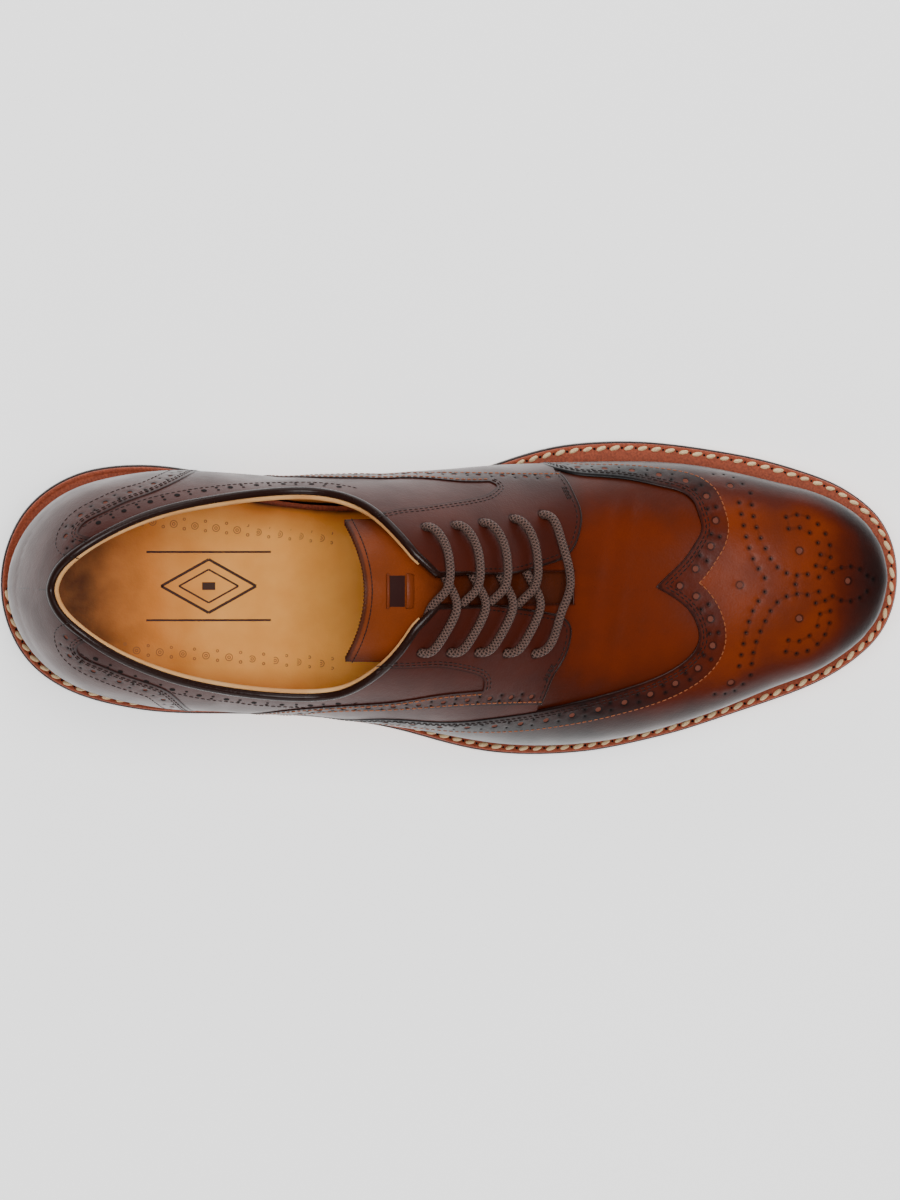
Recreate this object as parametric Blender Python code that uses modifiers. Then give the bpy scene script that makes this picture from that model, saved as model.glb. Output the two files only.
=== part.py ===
"""A wingtip derby brogue for the right foot, empty and standing on its sole.

Metres, +Z up, +X towards the toe, +Y towards the big-toe (medial) side.
The origin is the centre of the heel's face on the floor.

The upper is one surface, found by two numbers: u runs from the back of the heel (0) to the
tip of the toe (1), and a share of the half girth runs from the crown (0) to the welt (1 on
the medial side, -1 on the lateral side). Every leather piece is cut from that surface.
"""

import math

import bmesh
import bpy
import numpy as np
from mathutils import Vector

# Driving sizes
SHOE_LENGTH = 0.305
BALL_WIDTH = 0.107
INSTEP_HEIGHT = 0.082
BACK_HEIGHT = 0.060
HEEL_HEIGHT = 0.019
TOP_LIFT_THICKNESS = 0.0055
HEEL_LENGTH = 0.075
HEEL_TAPER = 0.002
BREAST_HOLLOW = 0.003
TOE_SPRING = 0.012
OUTSOLE_THICKNESS = 0.0055
OUTSOLE_ROUNDING = 0.0009
WELT_THICKNESS = 0.003
WELT_SETBACK = 0.0008
INSOLE_THICKNESS = 0.0035
HEEL_MARGIN = 0.0040
TOE_MARGIN = 0.0050
HEEL_BULGE = 0.0013
HEEL_LEAN = 0.0130
TOE_BULGE = 0.0012
UPPER_WALL = 0.0018
OVERLAY_THICKNESS = 0.0012
THROAT_WIDTH = 0.0112
BINDING_HEIGHT = 0.0026
BINDING_LIP = 0.0002
TONGUE_THICKNESS = 0.0020
LACE_DIAMETER = 0.0030
LACE_HOLE_DIAMETER = 0.0042
SEAT_GAP = 0.0003
BINDING_CLEARANCE = 0.0004
INSOLE_CLEARANCE = 0.0007
TONGUE_CLEARANCE = 0.0012
LACE_CLEARANCE = 0.0008

# Where the sole touches the floor, as shares of the shoe's length
BALL_START = 0.60
BALL_END = 0.67
TOE_SPRING_POWER = 1.8

# The heel's back and the toe's tip: how far along the length their round reaches, as shares
# of it, and where up the back the bulge ends and the lean begins, as shares of BACK_HEIGHT.
BACK_REACH = 0.22
TOE_REACH = 0.10
BULGE_END = 0.56
LEAN_START = 0.28
LEAN_POWER = 1.6
TOE_BULGE_END = 0.22

# The sole's outline. length: share of SHOE_LENGTH. The others: shares of BALL_WIDTH.
SOLE_COLUMNS = ("length", "lateral", "medial")
SOLE_ROWS = (
    (0.0000, 0.000, 0.000),
    (0.0095, 0.142, 0.142),
    (0.0229, 0.216, 0.216),
    (0.0496, 0.294, 0.294),
    (0.0876, 0.352, 0.350),
    (0.1320, 0.387, 0.373),
    (0.1770, 0.406, 0.372),
    (0.2660, 0.412, 0.325),
    (0.3550, 0.426, 0.282),
    (0.4445, 0.470, 0.294),
    (0.4890, 0.506, 0.322),
    (0.5338, 0.536, 0.360),
    (0.5780, 0.549, 0.403),
    (0.6230, 0.547, 0.436),
    (0.6676, 0.534, 0.450),
    (0.7122, 0.508, 0.452),
    (0.7570, 0.476, 0.441),
    (0.8015, 0.436, 0.421),
    (0.8460, 0.395, 0.394),
    (0.8907, 0.353, 0.353),
    (0.9353, 0.296, 0.296),
    (0.9576, 0.252, 0.252),
    (0.9800, 0.188, 0.188),
    (0.9910, 0.132, 0.132),
    (1.0000, 0.000, 0.000),
)

# How far the centre line swings towards the medial side at the toe, as shares of BALL_WIDTH.
SWING_COLUMNS = ("length", "swing")
SWING_ROWS = (
    (0.00, 0.000),
    (0.60, 0.000),
    (0.80, 0.000),
    (0.89, 0.008),
    (0.94, 0.016),
    (1.00, 0.023),
)

# The last's sections. length: share of the upper's length. lateral, medial: the widest
# half widths, and tucks: how far the welt line lies inside them, shares of BALL_WIDTH.
# crown: height over the welt, share of INSTEP_HEIGHT. belly: height of the widest place,
# share of the crown. fullness: the exponent of the round over the top.
LAST_COLUMNS = ("length", "lateral", "medial", "lateral_tuck", "medial_tuck",
                "crown", "belly", "fullness")
LAST_ROWS = (
    (0.000, 0.000, 0.000, 0.000, 0.000, 0.840, 0.26, 2.30),
    (0.018, 0.172, 0.170, 0.012, 0.012, 0.845, 0.26, 2.25),
    (0.060, 0.290, 0.286, 0.016, 0.016, 0.855, 0.26, 2.15),
    (0.120, 0.354, 0.342, 0.018, 0.022, 0.875, 0.25, 2.05),
    (0.195, 0.388, 0.361, 0.020, 0.034, 0.905, 0.25, 1.95),
    (0.290, 0.402, 0.346, 0.025, 0.070, 0.945, 0.25, 1.88),
    (0.390, 0.426, 0.350, 0.028, 0.098, 1.000, 0.26, 1.86),
    (0.480, 0.466, 0.362, 0.024, 0.082, 0.951, 0.25, 1.90),
    (0.550, 0.503, 0.378, 0.022, 0.048, 0.815, 0.23, 1.95),
    (0.620, 0.512, 0.386, 0.020, 0.026, 0.645, 0.22, 2.02),
    (0.670, 0.500, 0.390, 0.019, 0.019, 0.570, 0.23, 2.08),
    (0.720, 0.474, 0.391, 0.017, 0.017, 0.512, 0.25, 2.14),
    (0.770, 0.435, 0.382, 0.015, 0.015, 0.464, 0.27, 2.20),
    (0.820, 0.386, 0.358, 0.013, 0.013, 0.428, 0.29, 2.26),
    (0.870, 0.331, 0.322, 0.012, 0.012, 0.388, 0.31, 2.32),
    (0.920, 0.260, 0.256, 0.011, 0.011, 0.328, 0.35, 2.36),
    (0.950, 0.204, 0.204, 0.010, 0.010, 0.272, 0.39, 2.38),
    (0.975, 0.144, 0.144, 0.008, 0.008, 0.205, 0.46, 2.40),
    (1.000, 0.000, 0.000, 0.000, 0.000, 0.110, 0.60, 2.40),
)

# The collar: where the upper's wall ends, as shares of the half girth.
EDGE_COLUMNS = ("length", "lateral", "medial")
EDGE_ROWS = (
    (0.000, 0.140, 0.140),
    (0.035, 0.180, 0.175),
    (0.093, 0.262, 0.245),
    (0.152, 0.345, 0.322),
    (0.222, 0.430, 0.405),
    (0.290, 0.478, 0.482),
    (0.335, 0.470, 0.482),
    (0.368, 0.425, 0.430),
    (0.400, 0.325, 0.330),
    (0.428, 0.215, 0.205),
    (0.450, 0.110, 0.110),
)

# The stations along the upper, closer where it turns, as shares of its length
STATIONS = (
    0, 0.002, 0.008, 0.018, 0.034, 0.055, 0.085, 0.12, 0.16, 0.20, 0.24, 0.28, 0.315, 0.345,
    0.372, 0.395, 0.415, 0.432, 0.446, 0.460, 0.485, 0.515, 0.545, 0.575, 0.605, 0.632,
    0.665, 0.70, 0.74, 0.78, 0.815, 0.85, 0.88, 0.905, 0.928, 0.949, 0.967, 0.981, 0.991,
    0.9975, 1,
)
THROAT_START = 0.455
THROAT_FRONT = 0.632
TOE_ROW_SHARE = 0.10
OVERLAY_FOOT = 0.965

# How finely the forms are divided
SIDE_ROWS = 9
CROWN_SAMPLES = 40
FOOT_SAMPLES = 13
SOLE_STEPS = 38
PANEL_BLOCK_COLUMNS = 45
PANEL_BLOCK_ROWS = 12
PIN_SIDES = 10
TONGUE_ROWS = 14
TONGUE_COLUMNS = 11
LACE_STEP = 1.6
LACE_ROUNDNESS = 2

# Where the heel's outline has its points, as shares of HEEL_LENGTH
HEEL_STATIONS = (0, 0.015, 0.05, 0.10, 0.17, 0.26, 0.37, 0.5, 0.64, 0.8, 0.92, 1)

# The wingtip's and the counter's lines. girth: signed share of the half girth.
# length: share of SHOE_LENGTH where the panel begins at that girth.
PANEL_COLUMNS = ("girth", "length")
WING_ROWS = (
    (-1.06, 0.290), (-0.80, 0.350), (-0.61, 0.412), (-0.565, 0.475), (-0.515, 0.530),
    (-0.490, 0.595), (-0.465, 0.651), (-0.440, 0.688), (-0.410, 0.722), (-0.365, 0.748),
    (-0.320, 0.761), (-0.255, 0.768), (-0.185, 0.766), (-0.120, 0.758), (-0.055, 0.742),
    (0.000, 0.719), (0.060, 0.736), (0.140, 0.752), (0.220, 0.764), (0.300, 0.771),
    (0.375, 0.769), (0.445, 0.763), (0.495, 0.750), (0.525, 0.730), (0.555, 0.704),
    (0.585, 0.668), (0.610, 0.628), (0.660, 0.605), (0.80, 0.600), (1.06, 0.598),
)
COUNTER_ROWS = (
    (-1.06, 0.228), (-0.80, 0.215), (-0.590, 0.200), (-0.490, 0.188), (-0.440, 0.177),
    (-0.410, 0.162), (-0.375, 0.134), (-0.350, 0.113), (-0.325, 0.090), (-0.300, 0.068),
    (-0.265, 0.060), (-0.175, 0.077), (0.000, 0.088), (0.175, 0.077), (0.255, 0.060),
    (0.290, 0.066), (0.320, 0.084), (0.350, 0.106), (0.385, 0.128), (0.440, 0.160),
    (0.520, 0.190), (0.600, 0.203), (0.80, 0.218), (1.06, 0.229),
)

# The facings seen from above. x: share of SHOE_LENGTH. y: share of BALL_WIDTH.
FACING_LATERAL = (
    (0.380, -0.248), (0.437, -0.242), (0.470, -0.240), (0.496, -0.251), (0.513, -0.266),
    (0.524, -0.292), (0.520, -0.324), (0.557, -0.316), (0.597, -0.318), (0.603, -0.278),
    (0.614, -0.219), (0.620, -0.161), (0.620, -0.124), (0.614, -0.102), (0.597, -0.082),
    (0.561, -0.062), (0.530, -0.030), (0.380, -0.030),
)
FACING_MEDIAL = (
    (0.380, 0.236), (0.428, 0.250), (0.470, 0.263), (0.510, 0.280), (0.530, 0.294),
    (0.540, 0.316), (0.534, 0.334), (0.621, 0.333), (0.628, 0.288), (0.634, 0.233),
    (0.631, 0.172), (0.623, 0.124), (0.614, 0.101), (0.597, 0.081), (0.568, 0.060),
    (0.540, 0.030), (0.380, 0.030),
)

# The facings lie above the widest place: a share of INSTEP_HEIGHT over the heel's height.
PRISM_LOW = 0.16

# The lace holes, back to front, on each side: shares of SHOE_LENGTH and BALL_WIDTH
HOLES_LATERAL = ((0.452, -0.185), (0.484, -0.187), (0.515, -0.190), (0.547, -0.195), (0.580, -0.200))
HOLES_MEDIAL = ((0.457, 0.185), (0.490, 0.190), (0.521, 0.197), (0.556, 0.208), (0.590, 0.220))

# The tongue. across: share of its half width; back: the end's place, share of SHOE_LENGTH.
TONGUE_HALF_WIDTH = 0.026
TONGUE_FRONT = 0.660
TONGUE_BACK_COLUMNS = ("across", "back")
TONGUE_BACK_ROWS = ((-1.0, 0.372), (-0.5, 0.386), (0.0, 0.394), (0.5, 0.386), (1.0, 0.372))

# The laces' ways from their own hole over the throat. along: share of the step to the next
# pair of holes. hole, gap: shares of the hole's sideways place and of half the throat's width.
# height: 0 rests on the tongue, 1 lies clear over the facings.
STRAND_COLUMNS = ("along", "hole", "gap", "height")
UPPER_STRAND = (
    (0.00, 1.00, 0.00, 1.00),
    (0.45, 0.72, 0.00, 1.09),
    (0.62, 0.00, 1.05, 1.00),
    (0.50, 0.00, 0.00, 0.87),
    (0.20, 0.00, -0.45, 0.31),
)
LOWER_STRAND = (
    (0.00, 1.00, 0.00, 1.00),
    (0.50, 0.75, 0.00, 1.09),
    (0.95, 0.00, -1.15, 1.07),
    (0.95, 0.00, -0.20, 0.40),
    (0.82, 0.00, 0.45, 0.36),
)
BAR_MEDIAL = ((0.00, 1.00, 0.00, 1.00), (0.53, 0.62, 0.00, 1.09), (0.71, 0.00, 0.00, 1.00))
BAR_LATERAL = ((0.65, 0.62, 0.00, 1.09), (0.00, 1.00, 0.00, 1.00))

COLOURS = {
    "outsole": ((0.045, 0.022, 0.015), 0.55),
    "welt": ((0.30, 0.10, 0.05), 0.5),
    "heel_block": ((0.05, 0.025, 0.017), 0.5),
    "top_lift": ((0.02, 0.018, 0.017), 0.7),
    "insole": ((0.55, 0.32, 0.15), 0.6),
    "upper": ((0.16, 0.05, 0.02), 0.35),
    "wingtip": ((0.17, 0.05, 0.015), 0.3),
    "facing": ((0.10, 0.045, 0.032), 0.35),
    "counter": ((0.09, 0.04, 0.03), 0.35),
    "collar_binding": ((0.03, 0.015, 0.012), 0.3),
    "tongue": ((0.22, 0.07, 0.02), 0.4),
    "lace": ((0.09, 0.065, 0.055), 0.6),
}


def clear_scene():
    """Empty the file that the script runs in."""
    for old in list(bpy.data.objects):
        bpy.data.objects.remove(old, do_unlink=True)


def smooth_curve(knots, values):
    """A natural cubic spline through the values: a function of an array of places."""
    knots = np.asarray(knots, float)
    values = np.asarray(values, float)
    count = len(knots)
    step = np.diff(knots)
    slope = np.diff(values) / step
    matrix = np.eye(count)
    right = np.zeros(count)
    for i in range(1, count - 1):
        matrix[i, i - 1:i + 2] = step[i - 1], 2 * (step[i - 1] + step[i]), step[i]
        right[i] = 6 * (slope[i] - slope[i - 1])
    bend = np.linalg.solve(matrix, right)

    def curve(place):
        place = np.clip(np.asarray(place, float), knots[0], knots[-1])
        i = np.clip(np.searchsorted(knots, place, side="right") - 1, 0, count - 2)
        before = knots[i + 1] - place
        after = place - knots[i]
        return ((bend[i] * before ** 3 + bend[i + 1] * after ** 3) / (6 * step[i])
                + (values[i] / step[i] - bend[i] * step[i] / 6) * before
                + (values[i + 1] / step[i] - bend[i + 1] * step[i] / 6) * after)

    return curve


def round_place(share):
    """Turn a share of a length into u, which crowds the places towards both round ends."""
    return np.arccos(1 - 2 * np.clip(np.asarray(share, float), 0, 1)) / math.pi


def length_share(u):
    """Turn u back into a share of the length."""
    return (1 - np.cos(math.pi * np.asarray(u, float))) / 2


def table(columns, rows, rounded=True):
    """One smooth curve for each column, over the table's first column."""
    first = [row[0] for row in rows]
    knots = round_place(first) if rounded else first
    return {name: smooth_curve(knots, [row[i] for row in rows])
            for i, name in enumerate(columns) if i > 0}


SOLE = table(SOLE_COLUMNS, SOLE_ROWS)
LAST = table(LAST_COLUMNS, LAST_ROWS)
EDGE = table(EDGE_COLUMNS, EDGE_ROWS, rounded=False)
SWING = table(SWING_COLUMNS, SWING_ROWS, rounded=False)
TONGUE_BACK = table(TONGUE_BACK_COLUMNS, TONGUE_BACK_ROWS, rounded=False)
UPPER_LENGTH = SHOE_LENGTH - HEEL_MARGIN - TOE_MARGIN
ORIGIN_X = HEEL_LENGTH / 2


def swing_at(x):
    """Sideways place of the centre line at x from the back of the heel."""
    return BALL_WIDTH * SWING["swing"](np.asarray(x) / SHOE_LENGTH)


def sole_underside(x):
    """Height of the outsole's lower face at x from the back of the heel."""
    x = np.asarray(x, float)
    ball_start = BALL_START * SHOE_LENGTH
    ball_end = BALL_END * SHOE_LENGTH
    rise = np.clip((ball_start - x) / (ball_start - HEEL_LENGTH), 0, 1)
    arch = HEEL_HEIGHT * rise * rise * (3 - 2 * rise)
    spring = TOE_SPRING * np.clip((x - ball_end) / (SHOE_LENGTH - ball_end), 0, 1) ** TOE_SPRING_POWER
    return arch + spring


def welt_bottom(x):
    """Height of the welt's lower face, seated on the outsole."""
    return sole_underside(x) + OUTSOLE_THICKNESS + SEAT_GAP


def welt_top(x):
    """Height of the welt's upper face, where the upper stands."""
    return welt_bottom(x) + WELT_THICKNESS


def profile(u, medial):
    """One side's profile at u: samples of width and height over the welt, crown to welt."""
    u = np.asarray(u, float)[..., None]
    side = np.asarray(medial)[..., None]
    wide = BALL_WIDTH * np.where(side, LAST["medial"](u), LAST["lateral"](u))
    tuck = BALL_WIDTH * np.where(side, LAST["medial_tuck"](u), LAST["lateral_tuck"](u))
    crown = INSTEP_HEIGHT * LAST["crown"](u)
    belly = crown * LAST["belly"](u)
    power = 2 / LAST["fullness"](u)
    turn = np.linspace(0, math.pi / 2, CROWN_SAMPLES)
    over_y = wide * np.sin(turn) ** power
    over_z = belly + (crown - belly) * np.cos(turn) ** power
    fall = np.linspace(1, 0, FOOT_SAMPLES)[1:]
    under_y = wide - tuck * (1 - np.sin(fall * math.pi / 2))
    under_z = belly * fall
    return (np.concatenate([over_y, under_y * np.ones_like(wide)], -1),
            np.concatenate([over_z, under_z * np.ones_like(wide)], -1))


def lean(u, height):
    """How far the heel's back and the toe's tip lean along x, at a height over the welt."""
    back = np.clip(1 - length_share(u) / BACK_REACH, 0, 1) ** 2
    front = np.clip(1 - (1 - length_share(u)) / TOE_REACH, 0, 1) ** 2
    share = height / BACK_HEIGHT
    bulge = np.sin(np.clip(share / BULGE_END, 0, 1) * math.pi)
    tilt = np.clip((share - LEAN_START) / (1 - LEAN_START), 0, 1.3) ** LEAN_POWER
    toe = np.sin(np.clip(share / TOE_BULGE_END, 0, 1) * math.pi / 2)
    return back * (HEEL_LEAN * tilt - HEEL_BULGE * bulge) + front * TOE_BULGE * toe


def surface(u, girth):
    """Points of the upper's outer face at u and at a signed share of the half girth."""
    u, girth = np.broadcast_arrays(np.asarray(u, float), np.asarray(girth, float))
    medial = girth > 0
    y, z = profile(u, medial)
    run = np.concatenate([np.zeros(y.shape[:-1] + (1,)),
                          np.cumsum(np.hypot(np.diff(y), np.diff(z)), axis=-1)], -1)
    want = np.abs(girth) * run[..., -1]
    i = np.clip((run <= want[..., None]).sum(-1) - 1, 0, run.shape[-1] - 2)[..., None]
    before = np.take_along_axis(run, i, -1)[..., 0]
    after = np.take_along_axis(run, i + 1, -1)[..., 0]
    part = (want - before) / np.maximum(after - before, 1e-12)

    def between(values):
        low = np.take_along_axis(values, i, -1)[..., 0]
        high = np.take_along_axis(values, i + 1, -1)[..., 0]
        return low + part * (high - low)

    half_width, height = between(y), between(z)
    x = HEEL_MARGIN + UPPER_LENGTH * length_share(u)
    side = np.where(medial, 1.0, -1.0)
    return np.stack([x + lean(u, height), swing_at(x) + side * half_width,
                     welt_top(x) + SEAT_GAP + height], -1)


def outward(u, girth):
    """Unit normals of the upper's outer face."""
    u, girth = np.broadcast_arrays(np.asarray(u, float), np.asarray(girth, float))
    on_side = (u > 0) & (u < 1)
    u = np.clip(u, 0.004, 0.996)
    along = surface(u + 0.003, girth) - surface(u - 0.003, girth)
    across = surface(u, np.clip(girth + 0.008, -1, 1)) - surface(u, np.clip(girth - 0.008, -1, 1))
    normal = np.cross(along, across)
    normal[..., 1] *= on_side
    return normal / np.linalg.norm(normal, axis=-1, keepdims=True)


def girth_at(u, y):
    """The share of the half girth at u that lies over the sideways place y."""
    low, high = (0.0, 0.72) if y > 0 else (-0.72, 0.0)
    for _ in range(40):
        middle = (low + high) / 2
        if surface(u, middle)[1] < y:
            low = middle
        else:
            high = middle
    return (low + high) / 2


def u_at(x):
    """The value of u at x from the back of the heel."""
    return round_place((x - HEEL_MARGIN) / UPPER_LENGTH)


def edge_share(share, medial):
    """Where the wall ends at a station: the collar behind, the throat's slot in front."""
    side = "medial" if medial else "lateral"
    if share < THROAT_START:
        return float(EDGE[side](share))
    half = THROAT_WIDTH / 2 if medial else -THROAT_WIDTH / 2
    return abs(girth_at(float(round_place(share)), half))


def new_object(name, mesh, colour=None):
    """Put a mesh in the shoe's collection with its own material."""
    piece = bpy.data.objects.new(name, mesh)
    if colour is None:
        piece.hide_render = True
        piece.display_type = "WIRE"
        CUTTERS.objects.link(piece)
        return piece
    tint, roughness = COLOURS[colour]
    material = bpy.data.materials.new(name)
    material.use_nodes = True
    shader = material.node_tree.nodes["Principled BSDF"]
    shader.inputs["Base Color"].default_value = (*tint, 1)
    shader.inputs["Roughness"].default_value = roughness
    shader.inputs["Metallic"].default_value = 0.0
    mesh.materials.append(material)
    SHOE.objects.link(piece)
    return piece


def to_mesh(name, points, faces):
    """A mesh in the shoe's frame, welded, with its faces pointing out."""
    form = bmesh.new()
    corners = [form.verts.new((p[0] - ORIGIN_X, p[1], p[2])) for p in points]
    for face in faces:
        form.faces.new([corners[i] for i in face])
    bmesh.ops.remove_doubles(form, verts=form.verts, dist=1e-6)
    bmesh.ops.triangulate(form, faces=form.faces, quad_method="FIXED")
    bmesh.ops.recalc_face_normals(form, faces=form.faces)
    if any(edge.is_boundary for edge in form.edges):
        middle = sum((v.co for v in form.verts), Vector()) / len(form.verts)
        inside = Vector((middle.x, 0, HEEL_HEIGHT))
        facing = sum((f.calc_center_median() - inside).dot(f.normal) * f.calc_area() for f in form.faces)
        if facing < 0:
            bmesh.ops.reverse_faces(form, faces=form.faces)
    mesh = bpy.data.meshes.new(name)
    form.to_mesh(mesh)
    form.free()
    mesh.shade_smooth()
    mesh.set_sharp_from_angle(angle=math.radians(40))
    return mesh


def grid_faces(rows, columns, first=0):
    """The quads of a grid of points stored row by row."""
    return [(first + i * columns + j, first + i * columns + j + 1,
             first + (i + 1) * columns + j + 1, first + (i + 1) * columns + j)
            for i in range(rows - 1) for j in range(columns - 1)]


def loft(name, loops, colour, cyclic=False):
    """A closed body through loops of points, with its ends paired across unless cyclic."""
    count = len(loops[0])
    points = [p for loop in loops for p in loop]
    faces = []
    layers = len(loops)
    for k in range(layers if cyclic else layers - 1):
        low, high = k * count, ((k + 1) % layers) * count
        for i in range(count):
            j = (i + 1) % count
            faces.append((low + i, low + j, high + j, high + i))
    if not cyclic:
        for base in (0, (layers - 1) * count):
            faces += [tuple(base + i for i in face) for face in paired_faces(count)]
    return new_object(name, to_mesh(name, points, faces), colour)


def paired_faces(count):
    """Faces across a loop that starts at the heel's back and runs round by the medial side."""
    half = count // 2
    if count % 2:
        return [(0, 1, count - 1)] + [(k, k + 1, count - k - 1, count - k) for k in range(1, half)]
    middle = [(k, k + 1, count - k - 1, count - k) for k in range(1, half - 1)]
    return [(0, 1, count - 1)] + middle + [(half - 1, half, half + 1)]


def inset(loop, distance):
    """Move a closed loop of plan points inwards by a distance."""
    loop = np.asarray(loop)
    ahead = np.roll(loop, -1, axis=0) - np.roll(loop, 1, axis=0)
    ahead /= np.linalg.norm(ahead, axis=1, keepdims=True)
    return loop + np.stack([ahead[:, 1], -ahead[:, 0]], 1) * np.asarray(distance).reshape(-1, 1)


def plan_loop(half_width, start, length, shares):
    """A closed outline in plan: medial side from heel to toe, then back by the lateral side."""
    shares = np.asarray(shares, float)
    x = start + length * shares
    medial = swing_at(x) + half_width(round_place(shares), True)
    lateral = swing_at(x) - half_width(round_place(shares), False)
    closed = shares[-1] > 1 - 1e-9
    back = slice(-2, 0, -1) if closed else slice(None, 0, -1)
    return np.concatenate([np.stack([x, medial], 1), np.stack([x, lateral], 1)[back]])


def sole_half_width(u, medial):
    """The outsole's half width."""
    return BALL_WIDTH * SOLE["medial" if medial else "lateral"](u)


def wall_foot(height):
    """A function of the half width of the upper's outer face at a height over the welt."""
    def half_width(u, medial):
        side = "medial" if medial else "lateral"
        belly = INSTEP_HEIGHT * LAST["crown"](u) * LAST["belly"](u)
        share = np.sin(np.clip(height / belly, 0, 1) * math.pi / 2)
        return BALL_WIDTH * (LAST[side](u) - LAST[side + "_tuck"](u) * (1 - share))
    return half_width


def layer(loop, height):
    """Lift a plan loop to a height function of x."""
    return [(p[0], p[1], float(height(p[0]))) for p in loop]


def sole_shares():
    """The places along the sole, with the ends of the flat spot under the ball."""
    spread = [float(length_share(i / SOLE_STEPS)) for i in range(SOLE_STEPS + 1)]
    return sorted(spread + [BALL_START, BALL_END])


def make_sole():
    """Outsole, welt, stacked heel, top lift and insole."""
    shares = sole_shares()
    outline = plan_loop(sole_half_width, 0.0, SHOE_LENGTH, shares)
    low = inset(outline, OUTSOLE_ROUNDING)
    loft("outsole", [
        layer(low, sole_underside),
        layer(outline, lambda x: sole_underside(x) + OUTSOLE_ROUNDING),
        layer(outline, lambda x: sole_underside(x) + OUTSOLE_THICKNESS),
    ], "outsole")

    foot = plan_loop(wall_foot(0.0), HEEL_MARGIN, UPPER_LENGTH, shares)
    insole_low = inset(foot, UPPER_WALL + INSOLE_CLEARANCE)
    ring_inside = inset(foot, UPPER_WALL)
    ring_outside = inset(outline, WELT_SETBACK)
    loft("welt", [layer(ring_outside, welt_bottom), layer(ring_outside, welt_top),
                  layer(ring_inside, welt_top), layer(ring_inside, welt_bottom)],
         "welt", cyclic=True)

    rim = plan_loop(wall_foot(INSOLE_THICKNESS), HEEL_MARGIN, UPPER_LENGTH, shares)
    slope = np.linalg.norm(rim - foot, axis=1) / INSOLE_THICKNESS
    insole_high = inset(rim, UPPER_WALL * np.hypot(1, slope) + 2 * INSOLE_CLEARANCE)
    loft("insole", [layer(insole_low, welt_bottom), layer(insole_low, welt_top),
                    layer(insole_high, lambda x: welt_top(x) + INSOLE_THICKNESS)], "insole")

    heel_shares = [share * HEEL_LENGTH / SHOE_LENGTH for share in HEEL_STATIONS]
    heel = plan_loop(sole_half_width, 0.0, SHOE_LENGTH, heel_shares)
    seam = HEEL_HEIGHT - SEAT_GAP
    drop = TOP_LIFT_THICKNESS
    levels = (("top_lift", 0.0, drop), ("heel_block", drop + SEAT_GAP, seam))
    for name, low_z, high_z in levels:
        loops = []
        for z in (low_z, high_z):
            taper = OUTSOLE_ROUNDING + HEEL_TAPER * (1 - z / HEEL_HEIGHT)
            loops.append(heel_loop(heel, taper, z))
        loft(name, loops, name)


def heel_loop(outline, taper, z):
    """The heel's outline at a height, tapered in, with its front edge hollowed."""
    count = len(outline)
    half = count // 2
    x_front = HEEL_LENGTH - SEAT_GAP
    tapered = inset(outline, taper)
    tapered[half] = x_front, tapered[half - 1][1]
    tapered[half + 1] = x_front, tapered[half + 2][1]
    across = np.array([[x_front - BREAST_HOLLOW, 0.0]])
    closed = np.concatenate([tapered[:half + 1], across, tapered[half + 1:]])
    return [(p[0], p[1], z) for p in closed]


def side_shares(share, medial, foot=1.0):
    """The girth shares of a station's side, from the welt up to the wall's edge."""
    edge = edge_share(min(share, THROAT_FRONT), medial)
    if share > THROAT_FRONT:
        forward = (share - THROAT_FRONT) / (1 - THROAT_FRONT)
        edge += (TOE_ROW_SHARE - edge) * forward
    steps = np.linspace(0, 1, SIDE_ROWS + 1)
    values = 1 - (1 - edge) * steps
    values[0] = foot
    return values if medial else -values


def upper_sheet(lift, foot):
    """The upper's open sheet, lifted off its face and ending at a foot share: points, quads."""
    points, faces = [], []
    open_count = STATIONS.index(THROAT_FRONT) + 1
    for medial in (False, True):
        first = len(points)
        for share in STATIONS:
            girth = side_shares(share, medial, foot)
            u = np.full(len(girth), float(round_place(share)))
            points += list(surface(u, girth) + lift * outward(u, girth))
        faces += grid_faces(len(STATIONS), SIDE_ROWS + 1, first)
    first = len(points)
    for share in STATIONS[open_count - 1:]:
        girth = np.array([side_shares(share, False)[-1], 0.0, side_shares(share, True)[-1]])
        u = np.full(3, float(round_place(share)))
        points += list(surface(u, girth) + lift * outward(u, girth))
    faces += grid_faces(len(STATIONS) - open_count + 1, 3, first)
    return points, faces


def thicken(piece, thickness, offset):
    """Give an open sheet its wall."""
    wall = piece.modifiers.new("wall", "SOLIDIFY")
    wall.thickness = thickness
    wall.offset = offset
    wall.use_even_offset = False
    wall.use_quality_normals = True
    return piece


def boolean(piece, cutter, operation):
    """Cut, join or keep the common part of a piece and a cutter."""
    step = piece.modifiers.new(operation.lower(), "BOOLEAN")
    step.operation = operation
    step.object = cutter
    step.solver = "EXACT"
    return piece


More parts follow.
